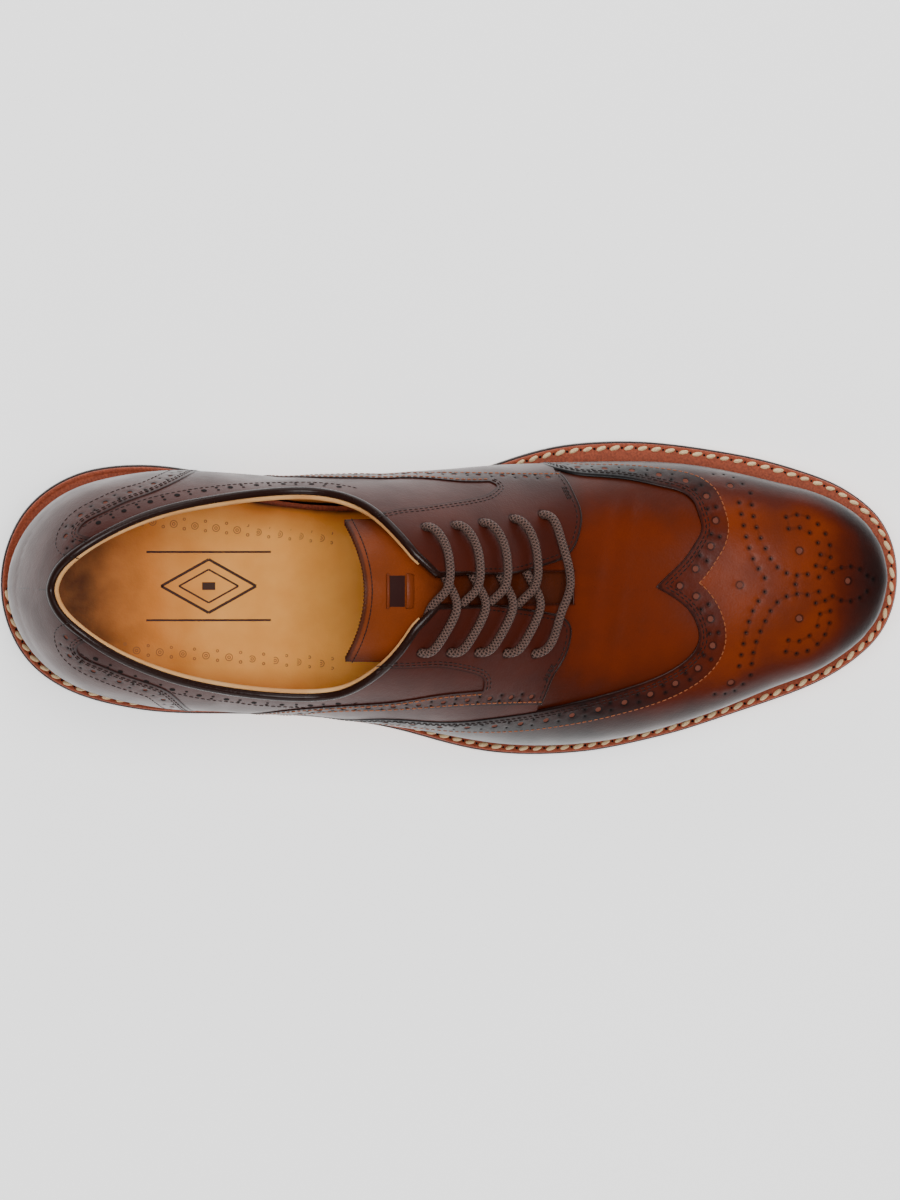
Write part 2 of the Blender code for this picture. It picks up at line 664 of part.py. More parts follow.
def prism(name, outline):
    """A cutter: a flat outline seen from above, made as tall as the shoe."""
    flat = bpy.data.curves.new(name, "CURVE")
    flat.dimensions = "2D"
    flat.fill_mode = "BOTH"
    low = HEEL_HEIGHT + PRISM_LOW * INSTEP_HEIGHT
    tall = 1.5 * INSTEP_HEIGHT
    flat.extrude = tall / 2
    line = flat.splines.new("POLY")
    line.points.add(len(outline) - 1)
    for point, (x, y) in zip(line.points, outline):
        point.co = (x * SHOE_LENGTH - ORIGIN_X, y * BALL_WIDTH, 0, 1)
    line.use_cyclic_u = True
    guide = bpy.data.objects.new(name, flat)
    CUTTERS.objects.link(guide)
    bpy.context.view_layer.update()
    mesh = bpy.data.meshes.new_from_object(guide.evaluated_get(bpy.context.evaluated_depsgraph_get()))
    bpy.data.objects.remove(guide, do_unlink=True)
    form = bmesh.new()
    form.from_mesh(mesh)
    bmesh.ops.translate(form, verts=form.verts, vec=(0, 0, low + tall / 2))
    bmesh.ops.remove_doubles(form, verts=form.verts, dist=1e-6)
    bmesh.ops.recalc_face_normals(form, faces=form.faces)
    form.to_mesh(mesh)
    form.free()
    return new_object(name, mesh)


def panel_block(name, rows, reach_to):
    """A cutter: the surface from a panel's line to one end of the shoe, made thick."""
    girths = np.linspace(rows[0][0], rows[-1][0], PANEL_BLOCK_COLUMNS)
    line = {name: [row[i] for row in rows] for i, name in enumerate(PANEL_COLUMNS)}
    lengths = np.interp(girths, line["girth"], line["length"])
    points = []
    for girth, length in zip(girths, lengths):
        start = float(u_at(length * SHOE_LENGTH))
        u = np.linspace(start, reach_to, PANEL_BLOCK_ROWS)
        points += list(surface(u, girth) - SEAT_GAP * outward(u, np.clip(girth, -1, 1)))
    mesh = to_mesh(name, points, grid_faces(len(girths), PANEL_BLOCK_ROWS))
    return thicken(new_object(name, mesh), 3 * OVERLAY_THICKNESS, 1.0)


def make_hole_pins():
    """The cutter of all the lace holes: one short pin through the wall for each."""
    form = bmesh.new()
    for x_share, y_share in HOLES_LATERAL + HOLES_MEDIAL:
        x, y = x_share * SHOE_LENGTH, y_share * BALL_WIDTH
        u = float(u_at(x))
        girth = girth_at(u, y)
        place = surface(u, girth)
        normal = outward(u, girth)
        turn = Vector(normal).to_track_quat("Z", "Y").to_matrix().to_4x4()
        turn.translation = Vector((place[0] - ORIGIN_X, place[1], place[2]))
        bmesh.ops.create_cone(form, cap_ends=True, segments=PIN_SIDES, matrix=turn,
                              radius1=LACE_HOLE_DIAMETER / 2, radius2=LACE_HOLE_DIAMETER / 2,
                              depth=4 * (UPPER_WALL + OVERLAY_THICKNESS))
    mesh = bpy.data.meshes.new("lace_hole_pins")
    form.to_mesh(mesh)
    form.free()
    return new_object("lace_hole_pins", mesh)


def make_upper(pins):
    """The hollow upper and the overlays cut from a larger form of the same surface."""
    points, faces = upper_sheet(0.0, 1.0)
    upper = new_object("upper", to_mesh("upper", points, faces), "upper")
    boolean(thicken(upper, UPPER_WALL, -1.0), pins, "DIFFERENCE")

    points, faces = upper_sheet(SEAT_GAP, OVERLAY_FOOT)
    panels = (
        ("wingtip", "wingtip", panel_block("wing_block", WING_ROWS, 1.0)),
        ("counter", "counter", panel_block("counter_block", COUNTER_ROWS, 0.0)),
        ("facing_lateral", "facing", prism("facing_lateral_block", FACING_LATERAL)),
        ("facing_medial", "facing", prism("facing_medial_block", FACING_MEDIAL)),
    )
    for name, colour, block in panels:
        panel = new_object(name, to_mesh(name, points, faces), colour)
        thicken(panel, OVERLAY_THICKNESS, 1.0)
        boolean(panel, block, "INTERSECT")
        if colour == "facing":
            boolean(panel, pins, "DIFFERENCE")


def make_binding():
    """The rolled edge of the collar, from one facing round the heel to the other."""
    half = (-UPPER_WALL - BINDING_LIP, OVERLAY_THICKNESS)
    foot = SEAT_GAP + BINDING_CLEARANCE
    shape = ((half[0], foot), (half[0], 0.6 * BINDING_HEIGHT), (half[0] * 0.6, BINDING_HEIGHT),
             (half[1] * 0.2, BINDING_HEIGHT), (half[1], 0.6 * BINDING_HEIGHT), (half[1], foot))
    shares = [s for s in STATIONS if s < THROAT_START]
    route = [(s, -edge_share(s, False)) for s in reversed(shares)]
    route += [(s, edge_share(s, True)) for s in shares[1:]]
    u = round_place([share for share, _ in route])
    girth = np.array([edge for _, edge in route])
    places = surface(u, girth)
    normals = outward(u, girth)
    along = np.gradient(places, axis=0)
    inwards = surface(u, girth * 0.97) - places
    points = []
    for place, normal, tangent, into in zip(places, normals, along, inwards):
        up = np.cross(tangent, normal)
        up *= np.sign(up @ into) / np.linalg.norm(up)
        points += [place + side * normal + rise * up for side, rise in shape]
    count = len(shape)
    faces = [(k * count + i, k * count + (i + 1) % count,
              (k + 1) * count + (i + 1) % count, (k + 1) * count + i)
             for k in range(len(route) - 1) for i in range(count)]
    faces += [tuple(range(count)), tuple(range(len(points) - count, len(points)))]
    new_object("collar_binding", to_mesh("collar_binding", points, faces), "collar_binding")


def make_tongue():
    """The tongue: a sheet under the wall, from inside the vamp to above the collar."""
    points = []
    for forward in np.linspace(0, 1, TONGUE_ROWS):
        for across in np.linspace(-1, 1, TONGUE_COLUMNS):
            back = float(TONGUE_BACK["back"](across))
            x = SHOE_LENGTH * (back + (TONGUE_FRONT - back) * forward)
            u = float(u_at(x))
            girth = girth_at(u, across * TONGUE_HALF_WIDTH) if abs(across) > 1e-6 else 0.0
            points.append(surface(u, girth) - (UPPER_WALL + TONGUE_CLEARANCE) * outward(u, girth))
    mesh = to_mesh("tongue", points, grid_faces(TONGUE_ROWS, TONGUE_COLUMNS))
    thicken(new_object("tongue", mesh, "tongue"), TONGUE_THICKNESS, -1.0)


def strand(hole, step, rows):
    """Points of a strand: a hole's place, the step to the next hole and a table of its way."""
    over = OVERLAY_THICKNESS + SEAT_GAP + LACE_CLEARANCE + LACE_DIAMETER / 2
    resting = LACE_DIAMETER / 2 + LACE_CLEARANCE - TONGUE_CLEARANCE - UPPER_WALL
    places = []
    for row in rows:
        way = dict(zip(STRAND_COLUMNS, row))
        x = (hole[0] + way["along"] * step) * SHOE_LENGTH
        y = way["hole"] * hole[1] * BALL_WIDTH + way["gap"] * THROAT_WIDTH / 2
        u = float(u_at(x))
        girth = girth_at(u, y)
        lift = resting + (over - resting) * way["height"]
        places.append(surface(u, girth) + lift * outward(u, girth))
    return places


def lace_tube(name, places):
    """A round lace through the places."""
    places = np.array(places)
    run = np.concatenate([[0], np.cumsum(np.linalg.norm(np.diff(places, axis=0), axis=1))])
    curves = [smooth_curve(run, places[:, k]) for k in range(3)]
    count = int(run[-1] / (LACE_STEP * LACE_DIAMETER)) + 1
    cord = bpy.data.curves.new(name, "CURVE")
    cord.dimensions = "3D"
    cord.bevel_depth = LACE_DIAMETER / 2
    cord.bevel_resolution = LACE_ROUNDNESS
    cord.use_fill_caps = True
    line = cord.splines.new("POLY")
    line.points.add(count - 1)
    for point, s in zip(line.points, np.linspace(0, run[-1], count)):
        x, y, z = (float(curve(s)) for curve in curves)
        point.co = (x - ORIGIN_X, y, z, 1)
    tube = bpy.data.objects.new(name, cord)
    CUTTERS.objects.link(tube)
    bpy.context.view_layer.update()
    mesh = bpy.data.meshes.new_from_object(tube.evaluated_get(bpy.context.evaluated_depsgraph_get()))
    bpy.data.objects.remove(tube, do_unlink=True)
    form = bmesh.new()
    form.from_mesh(mesh)
    bmesh.ops.remove_doubles(form, verts=form.verts, dist=1e-6)
    bmesh.ops.recalc_face_normals(form, faces=form.faces)
    form.to_mesh(mesh)
    form.free()
    mesh.materials.clear()
    return mesh


def make_laces():
    """Four crossings of two joined strands, and a straight bar at the front holes."""
    for k in range(len(HOLES_MEDIAL) - 1):
        step = HOLES_MEDIAL[k + 1][0] - HOLES_MEDIAL[k][0]
        name = "lace_crossing_%d" % (k + 1)
        upper = lace_tube(name, strand(HOLES_MEDIAL[k], step, UPPER_STRAND))
        lower = lace_tube(name + "_lower", strand(HOLES_LATERAL[k], step, LOWER_STRAND))
        boolean(new_object(name, upper, "lace"), new_object(name + "_lower", lower), "UNION")
    bar = strand(HOLES_MEDIAL[-1], step, BAR_MEDIAL) + strand(HOLES_LATERAL[-1], step, BAR_LATERAL)
    new_object("lace_bar_5", lace_tube("lace_bar_5", bar), "lace")


clear_scene()
SHOE = bpy.data.collections.new("brogue_shoe")
CUTTERS = bpy.data.collections.new("cutters")
bpy.context.scene.collection.children.link(SHOE)
bpy.context.scene.collection.children.link(CUTTERS)
make_sole()
make_upper(make_hole_pins())
make_binding()
make_tongue()
make_laces()
bpy.context.view_layer.update()
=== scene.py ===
"""A right-foot wingtip derby brogue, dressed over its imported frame.

Written in cells: each step is told first and then made. Metres, +X to the toe, +Y to the big toe.
"""

# %% [markdown]
# # A wingtip derby brogue
# The frame gives the shoe's true solids. This script adds what a shoemaker would add to them:
# panels with folded and punched edges, stitches, creases, colour and polish. It starts from the
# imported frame, so that every piece that follows can be measured against it.

import math

import bpy
import numpy as np
from mathutils import Matrix, Vector, kdtree
from mathutils.geometry import delaunay_2d_cdt


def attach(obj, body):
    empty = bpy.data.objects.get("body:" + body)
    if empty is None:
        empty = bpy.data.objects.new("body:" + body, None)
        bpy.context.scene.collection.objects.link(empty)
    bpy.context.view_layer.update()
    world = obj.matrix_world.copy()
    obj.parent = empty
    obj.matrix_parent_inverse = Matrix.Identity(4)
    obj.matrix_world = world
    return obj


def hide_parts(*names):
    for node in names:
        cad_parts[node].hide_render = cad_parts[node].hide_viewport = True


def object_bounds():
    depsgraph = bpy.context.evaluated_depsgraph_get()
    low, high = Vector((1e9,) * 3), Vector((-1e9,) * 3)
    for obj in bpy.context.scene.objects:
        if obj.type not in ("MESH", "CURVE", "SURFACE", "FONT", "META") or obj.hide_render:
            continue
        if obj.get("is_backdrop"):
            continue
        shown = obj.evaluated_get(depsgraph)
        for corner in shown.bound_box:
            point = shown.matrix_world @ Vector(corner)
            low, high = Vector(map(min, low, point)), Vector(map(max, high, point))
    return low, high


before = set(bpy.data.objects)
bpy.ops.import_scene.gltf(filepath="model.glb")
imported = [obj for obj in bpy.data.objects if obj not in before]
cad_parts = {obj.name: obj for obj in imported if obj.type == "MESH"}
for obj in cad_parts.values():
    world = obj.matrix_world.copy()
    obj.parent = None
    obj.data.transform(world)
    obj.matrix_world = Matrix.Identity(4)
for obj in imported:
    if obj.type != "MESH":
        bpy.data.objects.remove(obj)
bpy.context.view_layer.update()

# %% [markdown]
# ## The last
# Every leather piece lies on one surface, the last's. It is found by two numbers: u along the
# shoe (0 heel, 1 toe) and the signed share of the half girth (0 crown, 1 medial welt, -1
# lateral welt). The sizes and rows are those of the frame; the toe is a touch rounder, as the
# panels are pulled over it there.

# %% Sizes and sections of the last
MM = 0.001
SHOE_LENGTH = 0.305
BALL_WIDTH = 0.107
INSTEP_HEIGHT = 0.082
BACK_HEIGHT = 0.060
HEEL_HEIGHT = 0.019
TOP_LIFT_THICKNESS = 0.0055
HEEL_LENGTH = 0.075
HEEL_TAPER = 0.002
BREAST_HOLLOW = 0.003
TOE_SPRING = 0.012
OUTSOLE_THICKNESS = 0.0055
WELT_THICKNESS = 0.003
INSOLE_THICKNESS = 0.0035
HEEL_MARGIN = 0.0040
TOE_MARGIN = 0.0050
HEEL_BULGE = 0.0013
HEEL_LEAN = 0.0130
TOE_BULGE = 0.0012
UPPER_WALL = 0.0018
THROAT_WIDTH = 0.0112
BALL_START, BALL_END = 0.60, 0.67
UPPER_LENGTH = SHOE_LENGTH - HEEL_MARGIN - TOE_MARGIN
ORIGIN_X = HEEL_LENGTH / 2
THROAT_START, THROAT_FRONT = 0.455, 0.632

# length, lateral and medial half widths
SOLE_ROWS = (
    (0.0000, 0.000, 0.000), (0.0095, 0.142, 0.142), (0.0229, 0.216, 0.216), (0.0496, 0.294, 0.294),
    (0.0876, 0.352, 0.350), (0.1320, 0.387, 0.373), (0.1770, 0.406, 0.372), (0.2660, 0.412, 0.325),
    (0.3550, 0.426, 0.282), (0.4445, 0.470, 0.294), (0.4890, 0.506, 0.322), (0.5338, 0.536, 0.360),
    (0.5780, 0.549, 0.403), (0.6230, 0.547, 0.436), (0.6676, 0.534, 0.450), (0.7122, 0.508, 0.452),
    (0.7570, 0.476, 0.441), (0.8015, 0.436, 0.421), (0.8460, 0.395, 0.394), (0.8907, 0.353, 0.353),
    (0.9353, 0.296, 0.296), (0.9576, 0.252, 0.252), (0.9800, 0.188, 0.188), (0.9910, 0.132, 0.132),
    (1.0000, 0.000, 0.000),
)
SWING_ROWS = (
    (0.00, 0.0), (0.60, 0.0), (0.80, 0.0), (0.89, 0.008), (0.94, 0.016), (1.00, 0.023),
)
# length, lateral, medial, lateral tuck, medial tuck, crown, belly, fullness
LAST_ROWS = (
    (0.000, 0.000, 0.000, 0.000, 0.000, 0.840, 0.26, 2.30),
    (0.018, 0.172, 0.170, 0.012, 0.012, 0.845, 0.26, 2.25),
    (0.060, 0.290, 0.286, 0.016, 0.016, 0.855, 0.26, 2.15),
    (0.120, 0.354, 0.342, 0.018, 0.022, 0.875, 0.25, 2.05),
    (0.195, 0.388, 0.361, 0.020, 0.034, 0.905, 0.25, 1.95),
    (0.290, 0.402, 0.346, 0.025, 0.070, 0.945, 0.25, 1.88),
    (0.390, 0.426, 0.350, 0.028, 0.098, 1.000, 0.26, 1.86),
    (0.480, 0.466, 0.362, 0.024, 0.082, 0.951, 0.25, 1.90),
    (0.550, 0.503, 0.378, 0.022, 0.048, 0.815, 0.23, 1.95),
    (0.620, 0.512, 0.386, 0.020, 0.026, 0.645, 0.22, 2.02),
    (0.670, 0.500, 0.390, 0.019, 0.019, 0.570, 0.23, 2.08),
    (0.720, 0.474, 0.391, 0.017, 0.017, 0.512, 0.25, 2.14),
    (0.770, 0.435, 0.382, 0.015, 0.015, 0.464, 0.27, 2.20),
    (0.820, 0.386, 0.358, 0.013, 0.013, 0.428, 0.29, 2.26),
    (0.870, 0.331, 0.322, 0.012, 0.012, 0.388, 0.31, 2.32),
    (0.920, 0.284, 0.280, 0.011, 0.011, 0.328, 0.35, 2.36),
    (0.950, 0.238, 0.238, 0.010, 0.010, 0.272, 0.39, 2.38),
    (0.975, 0.184, 0.184, 0.008, 0.008, 0.205, 0.46, 2.40),
    (1.000, 0.000, 0.000, 0.000, 0.000, 0.110, 0.60, 2.40),
)
# the collar: length, lateral and medial girth shares
EDGE_ROWS = (
    (0.000, 0.140, 0.140), (0.035, 0.180, 0.175), (0.093, 0.262, 0.245), (0.152, 0.345, 0.322),
    (0.222, 0.430, 0.405), (0.290, 0.478, 0.482), (0.335, 0.470, 0.482), (0.368, 0.425, 0.430),
    (0.400, 0.325, 0.330), (0.428, 0.215, 0.205), (0.450, 0.110, 0.110),
)


def smooth_curve(knots, values):
    """A natural cubic spline through the values: a function of an array of places."""
    knots = np.asarray(knots, float)
    values = np.asarray(values, float)
    count = len(knots)
    gap = np.diff(knots)
    slope = np.diff(values) / gap
    matrix = np.eye(count)
    right = np.zeros(count)
    for i in range(1, count - 1):
        matrix[i, i - 1:i + 2] = gap[i - 1], 2 * (gap[i - 1] + gap[i]), gap[i]
        right[i] = 6 * (slope[i] - slope[i - 1])
    bend = np.linalg.solve(matrix, right)

    def curve(place):
        place = np.clip(np.asarray(place, float), knots[0], knots[-1])
        i = np.clip(np.searchsorted(knots, place, side="right") - 1, 0, count - 2)
        before = knots[i + 1] - place
        after = place - knots[i]
        return ((bend[i] * before ** 3 + bend[i + 1] * after ** 3) / (6 * gap[i])
                + (values[i] / gap[i] - bend[i] * gap[i] / 6) * before
                + (values[i + 1] / gap[i] - bend[i + 1] * gap[i] / 6) * after)

    return curve


def round_place(share):
    """Turn a share of a length into u, which crowds the places towards both round ends."""
    return np.arccos(1 - 2 * np.clip(np.asarray(share, float), 0, 1)) / math.pi


def length_share(u):
    """Turn u back into a share of the length."""
    return (1 - np.cos(math.pi * np.asarray(u, float))) / 2


def columns(rows, rounded=True):
    """One smooth curve for each column after the first."""
    grid = np.array(rows)
    knots = round_place(grid[:, 0]) if rounded else grid[:, 0]
    return [smooth_curve(knots, grid[:, i]) for i in range(1, grid.shape[1])]


SOLE_LATERAL, SOLE_MEDIAL = columns(SOLE_ROWS)
SWING = columns(SWING_ROWS, False)[0]
EDGE_LATERAL, EDGE_MEDIAL = columns(EDGE_ROWS, False)
WIDE_L, WIDE_M, TUCK_L, TUCK_M, CROWN, BELLY, FULLNESS = columns(LAST_ROWS)


def swing_at(x):
    """Sideways place of the centre line at x from the back of the heel."""
    return BALL_WIDTH * SWING(np.asarray(x) / SHOE_LENGTH)


def sole_underside(x):
    """Height of the outsole's lower face: heel, arch, flat ball, toe spring."""
    x = np.asarray(x, float)
    start, end = BALL_START * SHOE_LENGTH, BALL_END * SHOE_LENGTH
    rise = np.clip((start - x) / (start - HEEL_LENGTH), 0, 1)
    spring = np.clip((x - end) / (SHOE_LENGTH - end), 0, 1) ** 1.8
    return HEEL_HEIGHT * rise * rise * (3 - 2 * rise) + TOE_SPRING * spring


def welt_top(x):
    """Height of the welt's upper face."""
    return sole_underside(x) + OUTSOLE_THICKNESS + 0.3 * MM + WELT_THICKNESS


def profile(u, medial):
    """One side's section at u: widths and heights over the welt, from the crown down."""
    u = np.asarray(u, float)[..., None]
    side = np.asarray(medial)[..., None]
    wide = BALL_WIDTH * np.where(side, WIDE_M(u), WIDE_L(u))
    tuck = BALL_WIDTH * np.where(side, TUCK_M(u), TUCK_L(u))
    crown = INSTEP_HEIGHT * CROWN(u)
    belly = crown * BELLY(u)
    power = 2 / FULLNESS(u)
    turn = np.linspace(0, math.pi / 2, 40)
    fall = np.linspace(1, 0, 13)[1:]
    y = [wide * np.sin(turn) ** power, wide - tuck * (1 - np.sin(fall * math.pi / 2))]
    z = [belly + (crown - belly) * np.cos(turn) ** power, belly * fall]
    return np.concatenate(y, -1), np.concatenate(z, -1)


def lean(u, height):
    """How far the heel's back and the toe's tip lean along x."""
    back = np.clip(1 - length_share(u) / 0.22, 0, 1) ** 2
    front = np.clip(1 - (1 - length_share(u)) / 0.10, 0, 1) ** 2
    share = height / BACK_HEIGHT
    bulge = np.sin(np.clip(share / 0.56, 0, 1) * math.pi)
    tilt = np.clip((share - 0.28) / 0.72, 0, 1.3) ** 1.6
    toe = np.sin(np.clip(share / 0.22, 0, 1) * math.pi / 2)
    return back * (HEEL_LEAN * tilt - HEEL_BULGE * bulge) + front * TOE_BULGE * toe


def surface(u, girth):
    """Points of the last's surface, in the shoe's frame."""
    u, girth = np.broadcast_arrays(np.asarray(u, float), np.asarray(girth, float))
    medial = girth > 0
    y, z = profile(u, medial)
    steps = np.hypot(np.diff(y), np.diff(z))
    run = np.concatenate([np.zeros(y.shape[:-1] + (1,)), np.cumsum(steps, axis=-1)], -1)
    want = np.abs(girth) * run[..., -1]
    i = np.clip((run <= want[..., None]).sum(-1) - 1, 0, run.shape[-1] - 2)[..., None]
    before = np.take_along_axis(run, i, -1)[..., 0]
    part = (want - before) / np.maximum(np.take_along_axis(steps, i, -1)[..., 0], 1e-12)

    def between(values):
        low = np.take_along_axis(values, i, -1)[..., 0]
        return low + part * (np.take_along_axis(values, i + 1, -1)[..., 0] - low)

    half_width, height = between(y), between(z)
    share = length_share(u)
    x = HEEL_MARGIN + UPPER_LENGTH * share - 2.4 * MM * np.clip((share - 0.85) / 0.15, 0, 1) ** 1.5
    side = np.where(medial, 1.0, -1.0)
    return np.stack([x + lean(u, height) - ORIGIN_X, swing_at(x) + side * half_width,
                     welt_top(x) + 0.3 * MM + height], -1)


def outward(u, girth):
    """Unit normals of the surface, and its two steps along u and girth."""
    u, girth = np.broadcast_arrays(np.asarray(u, float), np.asarray(girth, float))
    on_side = (u > 0.0005) & (u < 0.9995)
    u = np.clip(u, 0.004, 0.996)
    girth = np.clip(girth, -1, 1)
    along = (surface(u + 0.003, girth) - surface(u - 0.003, girth)) / 0.006
    high, low = np.clip(girth + 0.008, -1, 1), np.clip(girth - 0.008, -1, 1)
    across = (surface(u, high) - surface(u, low)) / (high - low)[..., None]
    normal = np.cross(along, across)
    normal[..., 1] *= on_side
    return normal / np.linalg.norm(normal, axis=-1, keepdims=True), along, across


def u_at(length):
    """u at a share of SHOE_LENGTH."""
    return round_place((np.asarray(length, float) * SHOE_LENGTH - HEEL_MARGIN) / UPPER_LENGTH)


def girth_over(u, y):
    """The share of the half girth that lies over the sideways place y."""
    low = np.where(y > 0, 0.0, -0.75)
    high = np.where(y > 0, 0.75, 0.0)
    for _ in range(30):
        middle = (low + high) / 2
        short = surface(u, middle)[..., 1] < y
        low = np.where(short, middle, low)
        high = np.where(short, high, middle)
    return (low + high) / 2


print("toe tip at", surface(1.0, 0.5), "collar's back at", surface(0.0, 0.14))

# %% [markdown]
# ## Lines on the leather
# A pattern cutter works with lines on the last: an edge, then rows of stitches and holes at a
# distance from it. A line here is an array of (u, girth). It can be drawn through a few points,
# spaced out evenly, or moved sideways over the leather.

# %% Lines
def step(value, low, high):
    """0 below low, 1 above high, smooth between."""
    share = np.clip((value - low) / (high - low), 0, 1)
    return share * share * (3 - 2 * share)


def run_of(places):
    """Running length along a row of places."""
    return np.concatenate([[0], np.cumsum(np.linalg.norm(np.diff(places, axis=0), axis=1))])


def tree_of(places):
    """A search tree of places."""
    tree = kdtree.KDTree(len(places))
    for i, place in enumerate(places):
        tree.insert(place if len(place) == 3 else (place[0], place[1], 0), i)
    tree.balance()
    return tree


def spaced(line, pitch, start=0.0):
    """The line's points at an even pitch, measured over the leather."""
    run = run_of(surface(line[:, 0], line[:, 1]))
    count = max(2, int(round((run[-1] - start) / pitch)) + 1)
    at = np.linspace(start, run[-1], count)
    return np.stack([np.interp(at, run, line[:, k]) for k in range(2)], 1)


def drawn(rows, pitch=0.8 * MM):
    """A smooth line through (length share, girth) rows."""
    rows = np.array(rows, float)
    line = np.stack([u_at(rows[:, 0]), rows[:, 1]], 1)
    run = run_of(surface(line[:, 0], line[:, 1]))
    at = np.linspace(0, run[-1], int(run[-1] / pitch) + 2)
    return np.stack([smooth_curve(run, line[:, k])(at) for k in range(2)], 1)


def moved(line, distance, tidy=True, beside=None):
    """The line moved to its left over the leather, clear of its own corners and of a line beside."""
    out = line.copy()
    for _ in range(3):
        normal, along, across = outward(out[:, 0], out[:, 1])
        ahead = np.gradient(surface(out[:, 0], out[:, 1]), axis=0)
        side = np.cross(normal, ahead)
        side *= (distance / 3) / np.linalg.norm(side, axis=1, keepdims=True)
        aa, ab, bb = (along * along).sum(1), (along * across).sum(1), (across * across).sum(1)
        sa, sb = (side * along).sum(1), (side * across).sum(1)
        root = aa * bb - ab * ab
        out = out + np.stack([(sa * bb - sb * ab) / root, (sb * aa - sa * ab) / root], 1)
    if not tidy:
        return out
    both = line if beside is None else np.concatenate([line, beside])
    near = tree_of(surface(both[:, 0], both[:, 1]))
    keep = [near.find(place)[2] > 0.93 * abs(distance) for place in surface(out[:, 0], out[:, 1])]
    return out[np.array(keep)]


def pinked(line, pitch=1.9 * MM, depth=0.45 * MM):
    """A pinked edge: small round teeth along a line."""
    fine = spaced(line, pitch / 6)
    teeth = moved(fine, depth, tidy=False)
    share = (0.5 + 0.5 * np.cos(np.arange(len(fine)) * math.pi / 3))[:, None] ** 0.7
    return fine + (teeth - fine) * share


U_KNOTS = np.linspace(0, 1, 400)
RUN_ALONG = run_of(surface(U_KNOTS, 0.4))
HALF_GIRTH = {side: np.array([run_of(np.stack(profile(np.array(u), side > 0), 1))[-1] for u in U_KNOTS])
              for side in (-1, 1)}


def flat(line):
    """(u, girth) laid out nearly true in a plane, in metres."""
    half = np.where(line[:, 1] > 0, np.interp(line[:, 0], U_KNOTS, HALF_GIRTH[1]),
                    np.interp(line[:, 0], U_KNOTS, HALF_GIRTH[-1]))
    return np.stack([np.interp(line[:, 0], U_KNOTS, RUN_ALONG), line[:, 1] * half], 1)


def unflat(plan):
    """Back from the plane to (u, girth)."""
    u = np.interp(plan[:, 0], RUN_ALONG, U_KNOTS)
    half = np.where(plan[:, 1] > 0, np.interp(u, U_KNOTS, HALF_GIRTH[1]),
                    np.interp(u, U_KNOTS, HALF_GIRTH[-1]))
    return np.stack([u, plan[:, 1] / half], 1)


def inside(points, loop):
    """Which plan points lie inside a closed loop."""
    hit = np.zeros(len(points), bool)
    x, y = points[:, 0], points[:, 1]
    for (x0, y0), (x1, y1) in zip(loop, np.roll(loop, -1, axis=0)):
        if y0 == y1:
            continue
        crosses = (y0 > y) != (y1 > y)
        hit ^= crosses & (x < x0 + (y - y0) * (x1 - x0) / (y1 - y0))
    return hit


print("run along the side: %.0f mm" % (RUN_ALONG[-1] / MM))

# %% [markdown]
# ## Creases
# A last's leather is never quite even. A few soft troughs lie where the vamp bends and where
# the quarters were pulled down at the waist and round the heel.

# %% Soft troughs: length, girth, reach along and across (shares), depth in mm
TROUGHS = (
    (0.655, 0.12, 0.010, 0.30, 0.22), (0.672, -0.22, 0.008, 0.22, 0.20),
    (0.638, -0.30, 0.010, 0.16, 0.22), (0.690, 0.30, 0.009, 0.16, 0.18),
    (0.300, 0.70, 0.030, 0.10, 0.45), (0.340, -0.72, 0.035, 0.09, 0.40),
    (0.420, 0.66, 0.022, 0.12, 0.40), (0.245, -0.62, 0.020, 0.14, 0.35),
    (0.150, 0.55, 0.016, 0.12, 0.25),
)


def relief(u, girth):
    """Height of the troughs and of the ridges beside them."""
    length = (HEEL_MARGIN + UPPER_LENGTH * length_share(u)) / SHOE_LENGTH
    total = np.zeros(np.shape(length))
    for place, middle, reach, spread, depth in TROUGHS:
        along = (length - place - 0.04 * (girth - middle)) / reach
        across = (girth - middle) / spread
        total -= depth * MM * (1 - 0.7 * along ** 2) * np.exp(-along ** 2 - across ** 2)
    return total


def skin(u, girth, lift):
    """Points at a lift over the creased last. Outer pieces are skived thin towards the welt."""
    low = step(np.abs(girth), 0.50, 0.85)
    thin = np.where(lift < 0, lift, lift * (1 - 0.7 * low) - 0.5 * MM * low)
    return surface(u, girth) + (thin + relief(u, girth))[..., None] * outward(u, girth)[0]


def skin_normal(u, girth, lift):
    """Unit normals of the creased last."""
    on_side = (u > 0.0005) & (u < 0.9995)
    u = np.clip(u, 0.006, 0.994)
    girth = np.clip(girth, -0.99, 0.99)
    normal = np.cross(skin(u + 0.0025, girth, lift) - skin(u - 0.0025, girth, lift),
                      skin(u, girth + 0.008, lift) - skin(u, girth - 0.008, lift))
    normal[..., 1] *= on_side
    return normal / np.linalg.norm(normal, axis=-1, keepdims=True)


print("troughs:", len(TROUGHS))

# %% [markdown]
# ## Colours and materials
# The shoe is aniline calf, stained in the factory and burnished by hand: light cognac on the
# vamp and toe, plum brown on the quarters, nearly black at seams and on the toe's rim. Each
# panel carries "tone" (0 light, 1 dark) and "rim" (distance to the nearest cut edge, in mm).
# On the tongue, lining and insole, tone carries painted shade. Near a cut edge and on the walls
# of the holes the colour is darkened, partly as edge stain and partly as painted shade.

# %% Materials
def tint(code):
    """A linear colour from an sRGB hex code."""
    parts = [int(code[i:i + 2], 16) / 255 for i in (1, 3, 5)]
    return [c / 12.92 if c <= 0.04045 else ((c + 0.055) / 1.055) ** 2.4 for c in parts] + [1.0]


def add(tree, kind, settings=None, links=None):
    """Add one node, with its settings and its links."""
    new = tree.nodes.new(kind)
    for name, value in (settings or {}).items():
        if name in new.inputs:
            new.inputs[name].default_value = value
        else:
            setattr(new, name, value)
    for name, socket in (links or {}).items():
        tree.links.new(socket, new.inputs[name])
    return new


